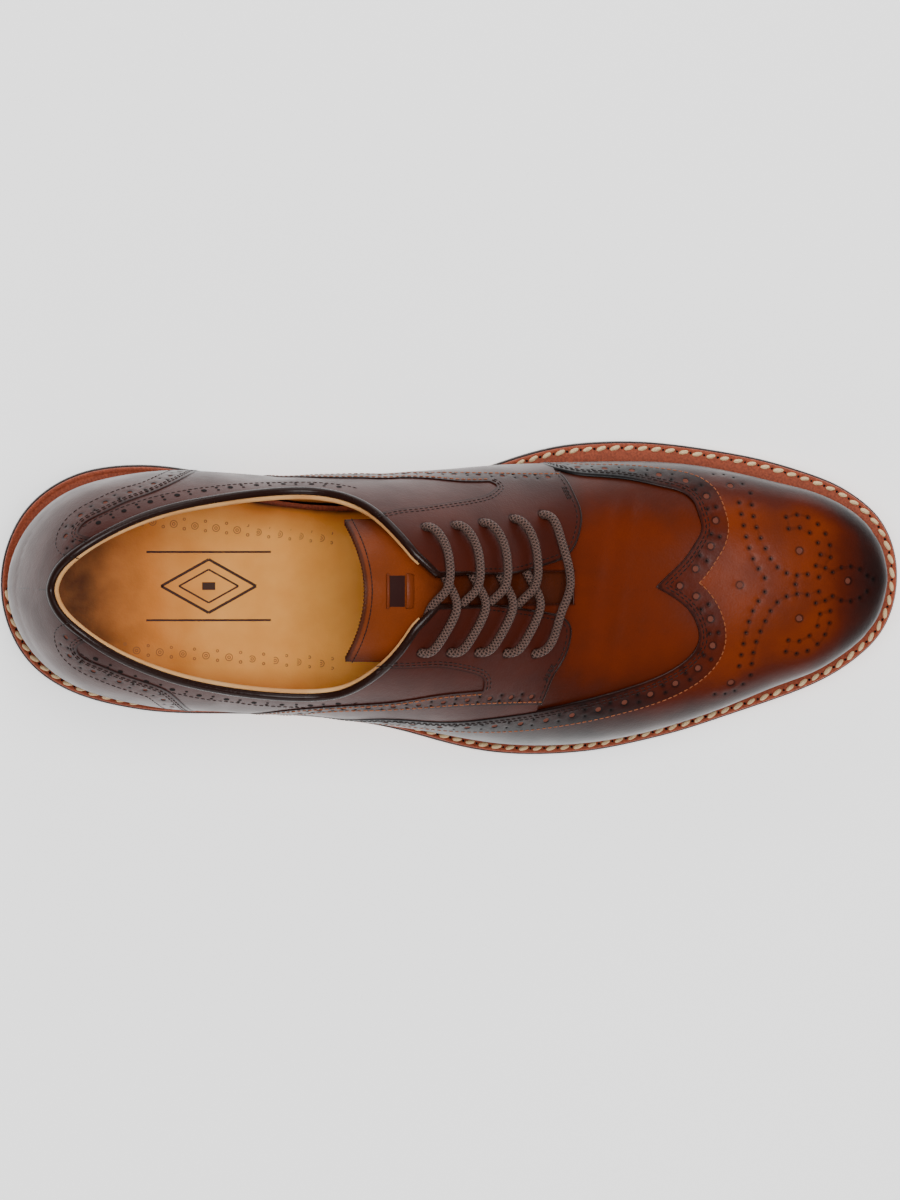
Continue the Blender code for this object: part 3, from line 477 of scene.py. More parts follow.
def shader_of(name, settings):
    """A new Principled material: its tree and its shader."""
    material = bpy.data.materials.new(name)
    material.use_nodes = True
    shader = material.node_tree.nodes["Principled BSDF"]
    for key, value in settings.items():
        shader.inputs[key].default_value = value
    return material, material.node_tree, shader


def leather(name, stops, roughness=0.34, coat=0.03, grain=0.12):
    """Stained and polished calf: tone to colour, cloudy stain, fine pores, uneven polish."""
    material, tree, shader = shader_of(name, {"Coat Weight": coat, "Coat Roughness": 0.16,
                                              "Specular IOR Level": 0.16})
    place = add(tree, "ShaderNodeTexCoord").outputs["Object"]
    tone = add(tree, "ShaderNodeAttribute", {"attribute_name": "tone"}).outputs["Fac"]
    cloud = add(tree, "ShaderNodeTexNoise", {"Scale": 70.0, "Detail": 4.0}, {"Vector": place})
    stain = add(tree, "ShaderNodeMapRange", {"From Min": 0.3, "From Max": 0.7, "To Min": -0.10,
                                             "To Max": 0.10}, {"Value": cloud.outputs["Fac"]})
    mixed = add(tree, "ShaderNodeMath", {"operation": "ADD", "use_clamp": True})
    tree.links.new(tone, mixed.inputs[0])
    tree.links.new(stain.outputs["Result"], mixed.inputs[1])
    ramp = add(tree, "ShaderNodeValToRGB", links={"Fac": mixed.outputs[0]})
    bar = ramp.color_ramp.elements
    while len(bar) < len(stops):
        bar.new(0.5)
    for slot, (at, code) in zip(bar, stops):
        slot.position = at
        slot.color = tint(code)
    # near a cut edge and on the walls of the holes the colour is darkened: partly edge stain, partly
    # painted shade
    rim = add(tree, "ShaderNodeAttribute", {"attribute_name": "rim"}).outputs["Fac"]
    dark = add(tree, "ShaderNodeMapRange", {"From Max": 0.8, "To Min": 0.40, "To Max": 1.0,
                                            "interpolation_type": "SMOOTHSTEP"}, {"Value": rim})
    shade = add(tree, "ShaderNodeVectorMath", {"operation": "SCALE"},
                {"Vector": ramp.outputs["Color"], "Scale": dark.outputs["Result"]})
    tree.links.new(shade.outputs["Vector"], shader.inputs["Base Color"])
    pores = add(tree, "ShaderNodeTexVoronoi", {"Scale": 1500.0}, {"Vector": place})
    wrinkle = add(tree, "ShaderNodeTexNoise", {"Scale": 420.0, "Detail": 5.0}, {"Vector": place})
    height = add(tree, "ShaderNodeMath", {"operation": "MULTIPLY_ADD"},
                 {0: pores.outputs["Distance"], 2: wrinkle.outputs["Fac"]})
    height.inputs[1].default_value = 0.5
    bump = add(tree, "ShaderNodeBump", {"Strength": grain, "Distance": 0.0004},
               {"Height": height.outputs[0]})
    tree.links.new(bump.outputs["Normal"], shader.inputs["Normal"])
    polish = add(tree, "ShaderNodeMapRange", {"From Min": 0.3, "From Max": 0.7,
                                              "To Min": roughness - 0.05, "To Max": roughness + 0.07},
                 {"Value": cloud.outputs["Fac"]})
    tree.links.new(polish.outputs["Result"], shader.inputs["Roughness"])
    return material


def plain(name, code, roughness=0.6, speckle=0.0, scale=900.0, bump_height=0.0):
    """An evenly coloured surface with a fine speckle."""
    material, tree, shader = shader_of(name, {"Roughness": roughness, "Base Color": tint(code),
                                              "Specular IOR Level": 0.2})
    place = add(tree, "ShaderNodeTexCoord").outputs["Object"]
    noise = add(tree, "ShaderNodeTexNoise", {"Scale": scale, "Detail": 4.0}, {"Vector": place})
    if speckle:
        light = add(tree, "ShaderNodeMapRange", {"From Min": 0.35, "From Max": 0.65,
                                                 "To Min": 1 - speckle, "To Max": 1 + speckle},
                    {"Value": noise.outputs["Fac"]})
        shade = add(tree, "ShaderNodeVectorMath", {"operation": "SCALE"}, {"Scale": light.outputs[0]})
        shade.inputs[0].default_value = tint(code)[:3]
        tree.links.new(shade.outputs["Vector"], shader.inputs["Base Color"])
    if bump_height:
        bump = add(tree, "ShaderNodeBump", {"Strength": 0.6, "Distance": bump_height},
                   {"Height": noise.outputs["Fac"]})
        tree.links.new(bump.outputs["Normal"], shader.inputs["Normal"])
    return material


# vamp and wing: drum-dyed cognac calf, burnished darker by hand towards every edge
VAMP_CALF = leather("cognac_calf_vamp", (
    (0.0, "#6C2506"), (0.4, "#4C1805"), (0.75, "#300F06"), (1.0, "#120705")))
WING_CALF = leather("burnished_calf_wing", (
    (0.0, "#7A2E08"), (0.35, "#521906"), (0.7, "#2E0D07"), (1.0, "#0F0607")))
# quarters, facings and counter: the same calf under a plum wax, brushed to a soft shine
PLUM_CALF = leather("plum_calf_quarters", (
    (0.0, "#4E1D10"), (0.4, "#3A1711"), (0.75, "#24100D"), (1.0, "#120A0A")))
# binding: a strip skived thin, rolled over the edge and polished hard
BINDING_CALF = leather("rolled_binding_calf", ((0.0, "#26100A"), (1.0, "#160A07")), 0.28, 0.12, 0.2)
# tongue: russet calf left soft, with little finish
# its darker stops give the painted shade under the laces and the facings
TONGUE_CALF = leather("russet_tongue_calf", (
    (0.0, "#80380E"), (0.5, "#531F08"), (1.0, "#240D06")), 0.45, 0.05, 0.3)
# lining and insole: vegetable-tanned calf, undyed and unwaxed
# their darker stops give the painted shade inside the shoe, on the lining and the insole
LINING = leather("tan_lining_calf", (
    (0.0, "#F2C68C"), (0.5, "#BF7C3E"), (1.0, "#5E3819")), 0.6, 0.0, 0.2)
INSOLE_CALF = leather("tan_insole_calf", (
    (0.0, "#F5AB50"), (0.5, "#CF7C2C"), (1.0, "#3E1C09")), 0.55, 0.0, 0.15)
# welt: oiled strip, a little furry on its cut top
WELT_LEATHER = plain("oiled_welt_leather", "#96452B", 0.55, 0.25, 1400.0, 0.0002)
# sole and heel edges: rasped, inked and burnished with a hot iron and wax
EDGE_LEATHER = plain("waxed_sole_edge", "#2B1815", 0.42, 0.2, 900.0, 0.0001)
# underside: oak-bark tanned and sanded, no finish
SOLE_LEATHER = plain("oak_bark_sole_leather", "#A8713F", 0.6, 0.12, 600.0, 0.0002)
# top lift: rubber, dull from its mould
HEEL_RUBBER = plain("moulded_heel_rubber", "#1B1817", 0.75, 0.1, 700.0, 0.0002)
# threads: twisted linen, drawn through wax
DARK_THREAD = plain("waxed_dark_thread", "#1C0E0A", 0.5)
RUST_THREAD = plain("waxed_rust_thread", "#95532F", 0.5)
CREAM_THREAD = plain("waxed_cream_thread", "#E6C596", 0.55, 0.15, 2500.0, 0.0001)
# what shows in the holes: reddish backing in the large ones, shade in the small ones
HOLE_FLOOR = plain("backing_in_the_holes", "#6A382A", 0.7)
HOLE_DARK = plain("shadow_in_the_holes", "#120A08", 0.9)
# painted shade in the keeper's slot
KEEPER_SHADOW = plain("shadowed_russet_calf", "#2A0A05", 0.6)
# stamped marks: brown ink for the lozenge, heat-darkened leather for the dots
PRINT_BROWN = plain("brown_print_ink", "#3A1E10", 0.6)
DOT_BROWN = plain("embossed_dot_ink", "#9A6130", 0.6)


def laced(name, strands=5, braid=1.15 * MM):
    """Waxed braid: two crossing sets of grey-brown strands, with painted shade nearly black in the
    hollows between them.
    """
    material, tree, shader = shader_of(name, {"Roughness": 0.6, "Specular IOR Level": 0.3})
    along = add(tree, "ShaderNodeAttribute", {"attribute_name": "along"}).outputs["Fac"]
    around = add(tree, "ShaderNodeAttribute", {"attribute_name": "around"}).outputs["Fac"]
    waves = []
    for hand in (1, -1):
        turn = add(tree, "ShaderNodeMath", {"operation": "MULTIPLY"}, {0: around})
        turn.inputs[1].default_value = hand * strands * 2 * math.pi
        phase = add(tree, "ShaderNodeMath", {"operation": "MULTIPLY_ADD"},
                    {0: along, 2: turn.outputs[0]})
        phase.inputs[1].default_value = 2 * math.pi / braid
        wave = add(tree, "ShaderNodeMath", {"operation": "SINE"}, {0: phase.outputs[0]})
        waves.append(wave.outputs[0])
    weave = add(tree, "ShaderNodeMath", {"operation": "MAXIMUM"}, {0: waves[0], 1: waves[1]})
    # painted shade: nearly black in the hollows between the strands, the lace's grey-brown on the
    # strands
    colour = add(tree, "ShaderNodeMix", {"data_type": "RGBA"})
    share = add(tree, "ShaderNodeMapRange", {"From Min": -1.0}, {"Value": weave.outputs[0]})
    tree.links.new(share.outputs["Result"], colour.inputs["Factor"])
    colour.inputs["A"].default_value = tint("#120A08")
    colour.inputs["B"].default_value = tint("#6B5047")
    tree.links.new(colour.outputs["Result"], shader.inputs["Base Color"])
    bump = add(tree, "ShaderNodeBump", {"Strength": 0.8, "Distance": 0.0004},
               {"Height": weave.outputs[0]})
    tree.links.new(bump.outputs["Normal"], shader.inputs["Normal"])
    return material


LACE_CORD = laced("waxed_cotton_lace")
print("materials:", len(bpy.data.materials))

# %% [markdown]
# ## Cutting a panel
# A clicker cuts a panel from a hide, then its edges are skived and folded and its holes punched.
# Here a panel is its outline and its holes on the flat, filled with triangles, laid over the
# last and given a rounded cut edge all round, the holes too. A flat pattern keeps the triangles
# even, and real holes catch the light as painted dots can't.

# %% Panels
HOLE_RIM = 0.45 * MM
PRESS_REACH = 0.5 * MM


def show(name, points, faces, material, nodes=(), normals=None, values=None):
    """A finished piece from points and faces, on the shoe's body."""
    mesh = bpy.data.meshes.new(name)
    mesh.from_pydata([tuple(p) for p in points], [], faces)
    mesh.shade_smooth()
    for key, numbers in (values or {}).items():
        layer = mesh.attributes.new(key, "FLOAT", "POINT")
        layer.data.foreach_set("value", np.asarray(numbers, np.float32))
    if normals is not None:
        mesh.normals_split_custom_set_from_vertices([tuple(n) for n in normals])
    mesh.materials.append(material)
    piece = bpy.data.objects.new(name, mesh)
    bpy.context.scene.collection.objects.link(piece)
    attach(piece, "root")
    if nodes:
        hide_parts(*nodes)
    print("%s: %d faces" % (name, len(mesh.polygons)))
    return piece


def ring(u, girth, radius, sides):
    """A round hole's rim on the leather, as a (u, girth) loop."""
    normal, along, across = outward(np.array([u]), np.array([girth]))
    turn = -np.arange(sides) * 2 * math.pi / sides
    one = along[0] / np.linalg.norm(along[0])
    two = np.cross(normal[0], one)
    wide, tall = np.linalg.norm(along[0]), across[0] @ two
    slant = across[0] @ one
    dg = radius * np.sin(turn) / tall
    return np.stack([u + (radius * np.cos(turn) - dg * slant) / wide, girth + dg], 1)


def clear_of(tree, points, distance):
    """The plan points that lie further than a distance from all places of the tree."""
    return points[np.array([tree.find((p[0], p[1], 0))[2] > distance for p in points])]


def filling(plans, holes, spacing, guides):
    """Plan points inside a panel: an even grid, rings round the holes, and guide lines."""
    low, high = plans[0].min(0), plans[0].max(0)
    rows = np.arange(low[1], high[1], spacing * 0.87)
    grid = np.array([(x + (k % 2) * spacing / 2, y) for k, y in enumerate(rows)
                     for x in np.arange(low[0], high[0], spacing)])
    rims = tree_of(np.concatenate(plans))
    grid = clear_of(rims, grid[inside(grid, plans[0])], 0.45 * spacing)
    rounds = [flat(ring(u, g, r + HOLE_RIM, 10)) for u, g, r in holes] + [flat(g) for g in guides]
    if rounds:
        rounds = np.concatenate(rounds)
        rounds = clear_of(rims, rounds[inside(rounds, plans[0])], 0.2 * MM)
        grid = np.concatenate([clear_of(tree_of(rounds), grid, 0.4 * MM), rounds])
    for hole in plans[1:]:
        middle = hole.mean(0)
        radius = np.linalg.norm(hole - middle, axis=1).max()
        grid = grid[np.linalg.norm(grid - middle, axis=1) > radius]
    return grid


def filled(loops, holes, spacing, guides):
    """The panel's (u, girth) points and triangles, and where each loop point went."""
    plans = [flat(loop) for loop in loops]
    grid = filling(plans, holes, spacing, guides)
    edges, first = [], 0
    for loop in plans:
        count = len(loop)
        edges += [(first + i, first + (i + 1) % count) for i in range(count)]
        first += count
    scale = 1000.0
    plan = [Vector(p * scale) for p in np.concatenate(plans + [grid])]
    found, _, faces, origin, _, _ = delaunay_2d_cdt(plan, edges, [], 0, 1e-4)
    found = np.array([tuple(v) for v in found]) / scale
    faces = np.array([f[:3] for f in faces])
    middles = found[faces].mean(1)
    good = inside(middles, plans[0])
    for hole in plans[1:]:
        middle = hole.mean(0)
        radius = np.linalg.norm(hole - middle, axis=1).max() * 1.02
        close = np.linalg.norm(middles - middle, axis=1) < radius
        good &= ~(close & inside(middles, hole))
    line = unflat(found)
    known = [o[0] if len(o) else -1 for o in origin]
    source = np.concatenate(loops + [unflat(grid)] if len(grid) else loops)
    for i, k in enumerate(known):
        if k >= 0:
            line[i] = source[k]
    return line, [tuple(f) for f in faces[good]], {k: i for i, k in enumerate(known) if k >= 0}


def cut_edge(top, up, thickness):
    """Two rings of points and normals that turn a panel's edge down to its thickness."""
    ahead = np.roll(top, -1, axis=0) - np.roll(top, 1, axis=0)
    out = np.cross(ahead, up)
    out /= np.maximum(np.linalg.norm(out, axis=1, keepdims=True), 1e-12)
    bend = 0.22 * thickness
    points, normals = [], []
    for side, down, rise in ((0.8 * bend, bend, 0.7), (bend, thickness, 0.0)):
        points += list(top + side * out - down * up)
        normals += list(out * (1 - rise) + up * rise)
    return points, normals


def at_end(a, b):
    """Whether both places lie at the toe's tip or at the heel's back, where panels meet."""
    return (a[0] > 0.9999 and b[0] > 0.9999) or (a[0] < 1e-4 and b[0] < 1e-4)


def cut_panel(name, outline, holes, lift, thickness, material, nodes, tone,
              spacing=2.0 * MM, press=0.15 * MM, flip=False, guides=()):
    """A panel over the last. holes are (u, girth, radius); tone(u, girth, rim) gives 0 to 1.

    Rings of guide points keep each hole's dark rim narrow; guides are more lines of points."""
    loops = [outline] + [ring(u, g, r, 12 if r > 0.9 * MM else 8) for u, g, r in holes]
    line, faces, index = filled(loops, holes, spacing, guides)
    u, g = np.clip(line[:, 0], 0, 1), line[:, 1]
    base = surface(u, g)
    rim_at = tree_of(surface(*np.concatenate(loops).T))
    near = [rim_at.find(p) for p in base]
    rim = np.array([n[2] for n in near])
    dip = press * np.exp(-rim / PRESS_REACH)
    away = np.array([base[i] - np.array(n[0]) for i, n in enumerate(near)])
    away /= np.maximum(np.linalg.norm(away, axis=1, keepdims=True), 1e-9)
    normals = skin_normal(u, g, np.full(len(u), lift))
    normals = normals - 0.6 * (dip / PRESS_REACH)[:, None] * away * (rim > 1e-6)[:, None]
    normals /= np.linalg.norm(normals, axis=1, keepdims=True)
    points, normals, rim = list(skin(u, g, lift - dip)), list(normals), list(rim)
    us, gs, first = list(u), list(g), 0
    for loop in loops:
        count = len(loop)
        ids = [index.get(first + i) for i in range(count)]
        first += count
        if any(i is None for i in ids):
            continue
        start = len(points)
        more = cut_edge(np.array([points[i] for i in ids]), np.array([normals[i] for i in ids]),
                        thickness)
        points += more[0]
        normals += more[1]
        rim += [0.0] * (2 * count)
        us += list(loop[:, 0]) * 2
        gs += list(loop[:, 1]) * 2
        for i in range(count):
            j = (i + 1) % count
            if at_end(loop[i], loop[j]):
                continue
            faces.append((ids[i], start + i, start + j, ids[j]))
            faces.append((start + i, start + count + i, start + count + j, start + j))
    points, normals, rim = np.array(points), np.array(normals), np.array(rim) / MM
    if flip:
        normals = -normals
        faces = [f[::-1] for f in faces]
    values = {"tone": np.clip(tone(np.array(us), np.array(gs), rim), 0, 1), "rim": np.clip(rim, 0, 9)}
    return show(name, points, faces, material, nodes, normals, values)


def round_about(loop):
    """The loop, turned so that it runs anticlockwise on the flat."""
    plan = flat(loop)
    area = np.sum(plan[:, 0] * np.roll(plan[:, 1], -1) - np.roll(plan[:, 0], -1) * plan[:, 1])
    return loop if area > 0 else loop[::-1]


def length_of(u):
    """Share of SHOE_LENGTH at u."""
    return (HEEL_MARGIN + UPPER_LENGTH * length_share(u)) / SHOE_LENGTH


print("panel cutter ready")

# %% [markdown]
# ## Repeats
# Stitches, hole floors and printed dots are one small piece each, set many times along a row
# by a node tree, then made one plain mesh.

# %% Geometry Nodes for repeats
def repeat_tree():
    """Instances of a piece on points, turned by the points' own directions."""
    tree = bpy.data.node_groups.new("set_along_rows", "GeometryNodeTree")
    face = tree.interface
    face.new_socket("Points", in_out="INPUT", socket_type="NodeSocketGeometry")
    face.new_socket("Piece", in_out="INPUT", socket_type="NodeSocketObject")
    face.new_socket("Size", in_out="INPUT", socket_type="NodeSocketFloat")
    face.new_socket("Material", in_out="INPUT", socket_type="NodeSocketMaterial")
    face.new_socket("Seed", in_out="INPUT", socket_type="NodeSocketInt")
    face.new_socket("Result", in_out="OUTPUT", socket_type="NodeSocketGeometry")
    given = add(tree, "NodeGroupInput")
    made = add(tree, "NodeGroupOutput")
    up = add(tree, "GeometryNodeInputNamedAttribute", {"data_type": "FLOAT_VECTOR", "Name": "up"})
    ahead = add(tree, "GeometryNodeInputNamedAttribute", {"data_type": "FLOAT_VECTOR", "Name": "ahead"})
    rise = add(tree, "FunctionNodeAlignRotationToVector", {"axis": "Z"},
               {"Vector": up.outputs["Attribute"]})
    turn = add(tree, "FunctionNodeAlignRotationToVector", {"axis": "X", "pivot_axis": "Z"},
               {"Rotation": rise.outputs["Rotation"], "Vector": ahead.outputs["Attribute"]})
    piece = add(tree, "GeometryNodeObjectInfo", links={"Object": given.outputs["Piece"]})
    chance = add(tree, "FunctionNodeRandomValue", {"data_type": "FLOAT"},
                 {"Seed": given.outputs["Seed"]})
    floats = [s for s in chance.inputs if s.name in ("Min", "Max") and s.type == "VALUE"]
    floats[0].default_value, floats[1].default_value = 0.9, 1.08
    size = add(tree, "ShaderNodeMath", {"operation": "MULTIPLY"}, {0: given.outputs["Size"]})
    value = [s for s in chance.outputs if s.type == "VALUE" and s.enabled][0]
    tree.links.new(value, size.inputs[1])
    placed = add(tree, "GeometryNodeInstanceOnPoints", links={
        "Points": given.outputs["Points"], "Instance": piece.outputs["Geometry"],
        "Rotation": turn.outputs["Rotation"], "Scale": size.outputs[0]})
    whole = add(tree, "GeometryNodeRealizeInstances", links={"Geometry": placed.outputs["Instances"]})
    done = add(tree, "GeometryNodeSetMaterial", links={"Geometry": whole.outputs["Geometry"],
                                                       "Material": given.outputs["Material"]})
    tree.links.new(done.outputs["Geometry"], made.inputs["Result"])
    return tree


REPEAT = repeat_tree()


def repeat(name, rows, piece, material, seed=1):
    """One joined mesh of a piece set at rows of (points, ahead, up)."""
    points = np.concatenate([r[0] for r in rows])
    mesh = bpy.data.meshes.new(name + "_points")
    mesh.from_pydata([tuple(p) for p in points], [], [])
    for key, k in (("ahead", 1), ("up", 2)):
        layer = mesh.attributes.new(key, "FLOAT_VECTOR", "POINT")
        vectors = np.concatenate([r[k] for r in rows]).astype(np.float32)
        layer.data.foreach_set("vector", vectors.ravel())
    holder = bpy.data.objects.new(name + "_points", mesh)
    bpy.context.scene.collection.objects.link(holder)
    nodes = holder.modifiers.new("rows", "NODES")
    nodes.node_group = REPEAT
    given = {"Piece": piece, "Size": 1.0, "Material": material, "Seed": seed}
    for socket in REPEAT.interface.items_tree:
        if socket.in_out == "INPUT" and socket.name in given:
            nodes[socket.identifier] = given[socket.name]
    bpy.context.view_layer.update()
    seen = holder.evaluated_get(bpy.context.evaluated_depsgraph_get())
    plain_mesh = bpy.data.meshes.new_from_object(seen)
    plain_mesh.name = name
    bpy.data.objects.remove(holder, do_unlink=True)
    plain_mesh.shade_smooth()
    done = bpy.data.objects.new(name, plain_mesh)
    bpy.context.scene.collection.objects.link(done)
    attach(done, "root")
    print("%s: %d pieces" % (name, len(points)))
    return done


def seed_piece(name, points, faces):
    """A small mesh for repeats, kept out of the picture."""
    mesh = bpy.data.meshes.new(name)
    mesh.from_pydata([tuple(p) for p in points], [], faces)
    return bpy.data.objects.new(name, mesh)


STITCH_SINK = 0.04 * MM


def capsule(name, length, width, height):
    """A stitch: a low rounded bar along x."""
    points, faces = [], []
    stations = ((-0.5, 0.15), (-0.38, 0.75), (-0.12, 1.0), (0.12, 1.0), (0.38, 0.75), (0.5, 0.15))
    for x, share in stations:
        for k in range(6):
            turn = math.pi * k / 5
            points.append((x * length, math.cos(turn) * width / 2 * share,
                           math.sin(turn) * height * share - STITCH_SINK))
    for i in range(len(stations) - 1):
        faces += [(i * 6 + k, i * 6 + k + 1, (i + 1) * 6 + k + 1, (i + 1) * 6 + k)
                  for k in range(5)]
    return seed_piece(name, points, faces)


def disc(name, radius, inner=0.0, sides=12):
    """A flat disc or ring."""
    turn = np.arange(sides) * 2 * math.pi / sides
    points = [(radius * math.cos(t), radius * math.sin(t), 0) for t in turn]
    if not inner:
        return seed_piece(name, points, [tuple(range(sides))])
    points += [(inner * math.cos(t), inner * math.sin(t), 0) for t in turn]
    faces = [(i, (i + 1) % sides, sides + (i + 1) % sides, sides + i) for i in range(sides)]
    return seed_piece(name, points, faces)


def on_skin(line, pitch, lift):
    """A row for repeat along a line: points, ahead, up."""
    even = spaced(line, pitch)
    middle = (even[1:] + even[:-1]) / 2
    points = skin(middle[:, 0], middle[:, 1], np.full(len(middle), lift))
    ahead = surface(even[1:, 0], even[1:, 1]) - surface(even[:-1, 0], even[:-1, 1])
    return points, ahead, outward(middle[:, 0], middle[:, 1])[0]


STITCH = capsule("fine_stitch", 1.55 * MM, 0.42 * MM, 0.22 * MM)
PITCH = 2.0 * MM
print("repeat tree ready")

# %% [markdown]
# ## Sweeps
# Bindings, waxed edges and laces are one section drawn along a path. Sweeping the mesh by hand
# keeps the path's running length, which the braid of the laces needs.

# %% Swept edges and cords
def swept(name, path, up, section, material, nodes=(), size=None):
    """A closed section swept along a path, with its ends capped."""
    path, up = np.asarray(path), np.asarray(up)
    ahead = np.gradient(path, axis=0)
    ahead /= np.linalg.norm(ahead, axis=1, keepdims=True)
    side = np.cross(ahead, up)
    side /= np.linalg.norm(side, axis=1, keepdims=True)
    rise = np.cross(side, ahead)
    section = np.asarray(section)
    size = np.ones(len(path)) if size is None else size
    count = len(section)
    points = [p + k * (s[0] * a + s[1] * b) for p, a, b, k in zip(path, side, rise, size)
              for s in section]
    faces = [(i + j, i + (j + 1) % count, i + count + (j + 1) % count, i + count + j)
             for i in range(0, (len(path) - 1) * count, count) for j in range(count)]
    faces += [tuple(range(count))[::-1], tuple(range(len(points) - count, len(points)))]
    run = run_of(path)
    values = {"along": np.repeat(run, count), "around": np.tile(np.arange(count) / count, len(path)),
              "tone": np.full(len(points), 0.3), "rim": np.full(len(points), 5.0)}
    return show(name, points, faces, material, nodes, None, values)


def oval(wide, tall, sides=16):
    """An oval section."""
    turn = np.arange(sides) * 2 * math.pi / sides
    return np.stack([wide * np.cos(turn), tall * np.sin(turn)], 1)


print("sweeps ready")

# %% [markdown]
# ## The pattern
# The wing, counter and facings are drawn as lines of (length share, girth). Their bands carry
# a row of large holes with pairs of small ones between, punched parallel to the folded edge.

# %% Pattern lines
WING_MEDIAL = (
    (0.719, 0.0), (0.733, 0.06), (0.751, 0.14), (0.763, 0.22), (0.771, 0.305), (0.768, 0.375),
    (0.763, 0.445), (0.750, 0.50), (0.730, 0.525), (0.704, 0.555), (0.668, 0.585), (0.630, 0.615),
    (0.610, 0.68), (0.600, 0.80), (0.598, 0.985),
)
WING_LATERAL = (
    (0.290, -0.985), (0.350, -0.80), (0.385, -0.68), (0.4115, -0.61), (0.475, -0.565),
    (0.530, -0.515), (0.595, -0.49), (0.651, -0.465), (0.688, -0.44), (0.722, -0.41),
    (0.748, -0.365), (0.761, -0.32), (0.768, -0.255), (0.766, -0.19), (0.758, -0.12),
    (0.742, -0.055), (0.719, 0.0),
)
COUNTER_MEDIAL = (
    (0.229, 0.985), (0.218, 0.80), (0.203, 0.60), (0.190, 0.525), (0.162, 0.44), (0.128, 0.385),
    (0.104, 0.345), (0.084, 0.32), (0.066, 0.29), (0.060, 0.262), (0.074, 0.215),
)
COUNTER_LATERAL = (
    (0.066, -0.215), (0.058, -0.262), (0.062, -0.292), (0.088, -0.325), (0.113, -0.35),
    (0.134, -0.375), (0.162, -0.41), (0.177, -0.44), (0.188, -0.49), (0.200, -0.59), (0.215, -0.80),
    (0.228, -0.985),
)
FRONT_MEDIAL = (
    (0.509, 0.055), (0.533, 0.055), (0.555, 0.06), (0.576, 0.08), (0.597, 0.105), (0.614, 0.135),
    (0.623, 0.17), (0.631, 0.245), (0.634, 0.34), (0.628, 0.435), (0.621, 0.53), (0.614, 0.60),
)
FRONT_LATERAL = (
    (0.524, -0.05), (0.561, -0.07), (0.597, -0.095), (0.614, -0.12), (0.620, -0.15),
    (0.620, -0.195), (0.614, -0.265), (0.602, -0.335), (0.596, -0.39), (0.590, -0.455),
)
SEAM_LATERAL = (
    (0.392, -0.30), (0.412, -0.272), (0.437, -0.265), (0.468, -0.26), (0.496, -0.275),
    (0.511, -0.29), (0.523, -0.32), (0.523, -0.365),
)
SEAM_MEDIAL = (
    (0.398, 0.295), (0.412, 0.30), (0.428, 0.315), (0.449, 0.325), (0.470, 0.34), (0.489, 0.355),
    (0.510, 0.375), (0.529, 0.405), (0.538, 0.44), (0.541, 0.47), (0.534, 0.50),
)
BAND_LATERAL_UP = (
    (0.523, -0.365), (0.470, -0.39), (0.427, -0.44), (0.388, -0.48), (0.3465, -0.53),
    (0.305, -0.61), (0.275, -0.74), (0.262, -0.985),
)
BAND_LATERAL_LOW = (
    (0.590, -0.455), (0.547, -0.437), (0.492, -0.445), (0.409, -0.515), (0.3465, -0.595),
    (0.325, -0.68), (0.305, -0.80), (0.298, -0.985),
)
BAND_MEDIAL_UP = (
    (0.534, 0.50), (0.500, 0.505), (0.467, 0.545), (0.420, 0.575), (0.373, 0.60), (0.330, 0.655),
    (0.295, 0.76), (0.280, 0.985),
)
BAND_MEDIAL_LOW = (
    (0.614, 0.60), (0.565, 0.585), (0.516, 0.60), (0.440, 0.655), (0.385, 0.69), (0.350, 0.75),
    (0.325, 0.85), (0.318, 0.985),
)


def edge_line(side, pitch=1.0 * MM):
    """The collar's edge and the throat's slot on one side, heel to throat front."""
    edge = EDGE_MEDIAL if side > 0 else EDGE_LATERAL
    shares = np.concatenate([length_share(np.linspace(0, float(round_place(0.447)), 90)),
                             np.linspace(0.470, THROAT_FRONT, 24)])
    u = round_place(shares)
    slot = np.abs(girth_over(u, np.full(len(u), side * THROAT_WIDTH / 2)))
    girth = np.where(shares < 0.46, edge(shares), slot)
    return spaced(np.stack([u, side * girth], 1), pitch)


EDGES = {side: edge_line(side) for side in (-1, 1)}
print("collar and throat:", len(EDGES[1]), "points a side")

# %% [markdown]
# ## Vamp and quarters
# The vamp covers the toe and the forefoot, the quarters the rest. On the real shoe they run on
# under the wing and the counter, so they are cut whole here too, at two lifts: the quarters lie
# over the vamp.

# %% Vamp and quarters
QUARTER_LIFT = 0.9 * MM


def foot_line(start, end, girth, pitch=2.5 * MM):
    """A line along the welt between two places u."""
    u = np.linspace(start, end, 200)
    return spaced(np.stack([u, np.full(200, girth)], 1), pitch)


def toe_line(count=24):
    """The line up and down the toe's tip, from the lateral welt to the medial one."""
    return np.stack([np.ones(count), np.linspace(-1, 1, count)], 1)


def vamp_tone(u, girth, rim):
    """Dark beside the facings and under the wing, light in the middle."""
    length = length_of(u)
    near_facing = 1 - step(length, 0.60, 0.66)
    sides = step(np.abs(girth), 0.22, 0.52)
    return 0.12 + 0.22 * near_facing + 0.34 * sides


def quarter_tone(u, girth, rim):
    """Plum, darker low down and at the back."""
    back = 1 - step(length_of(u), 0.05, 0.2)
    return 0.28 + 0.35 * step(np.abs(girth), 0.45, 0.95) + 0.15 * back


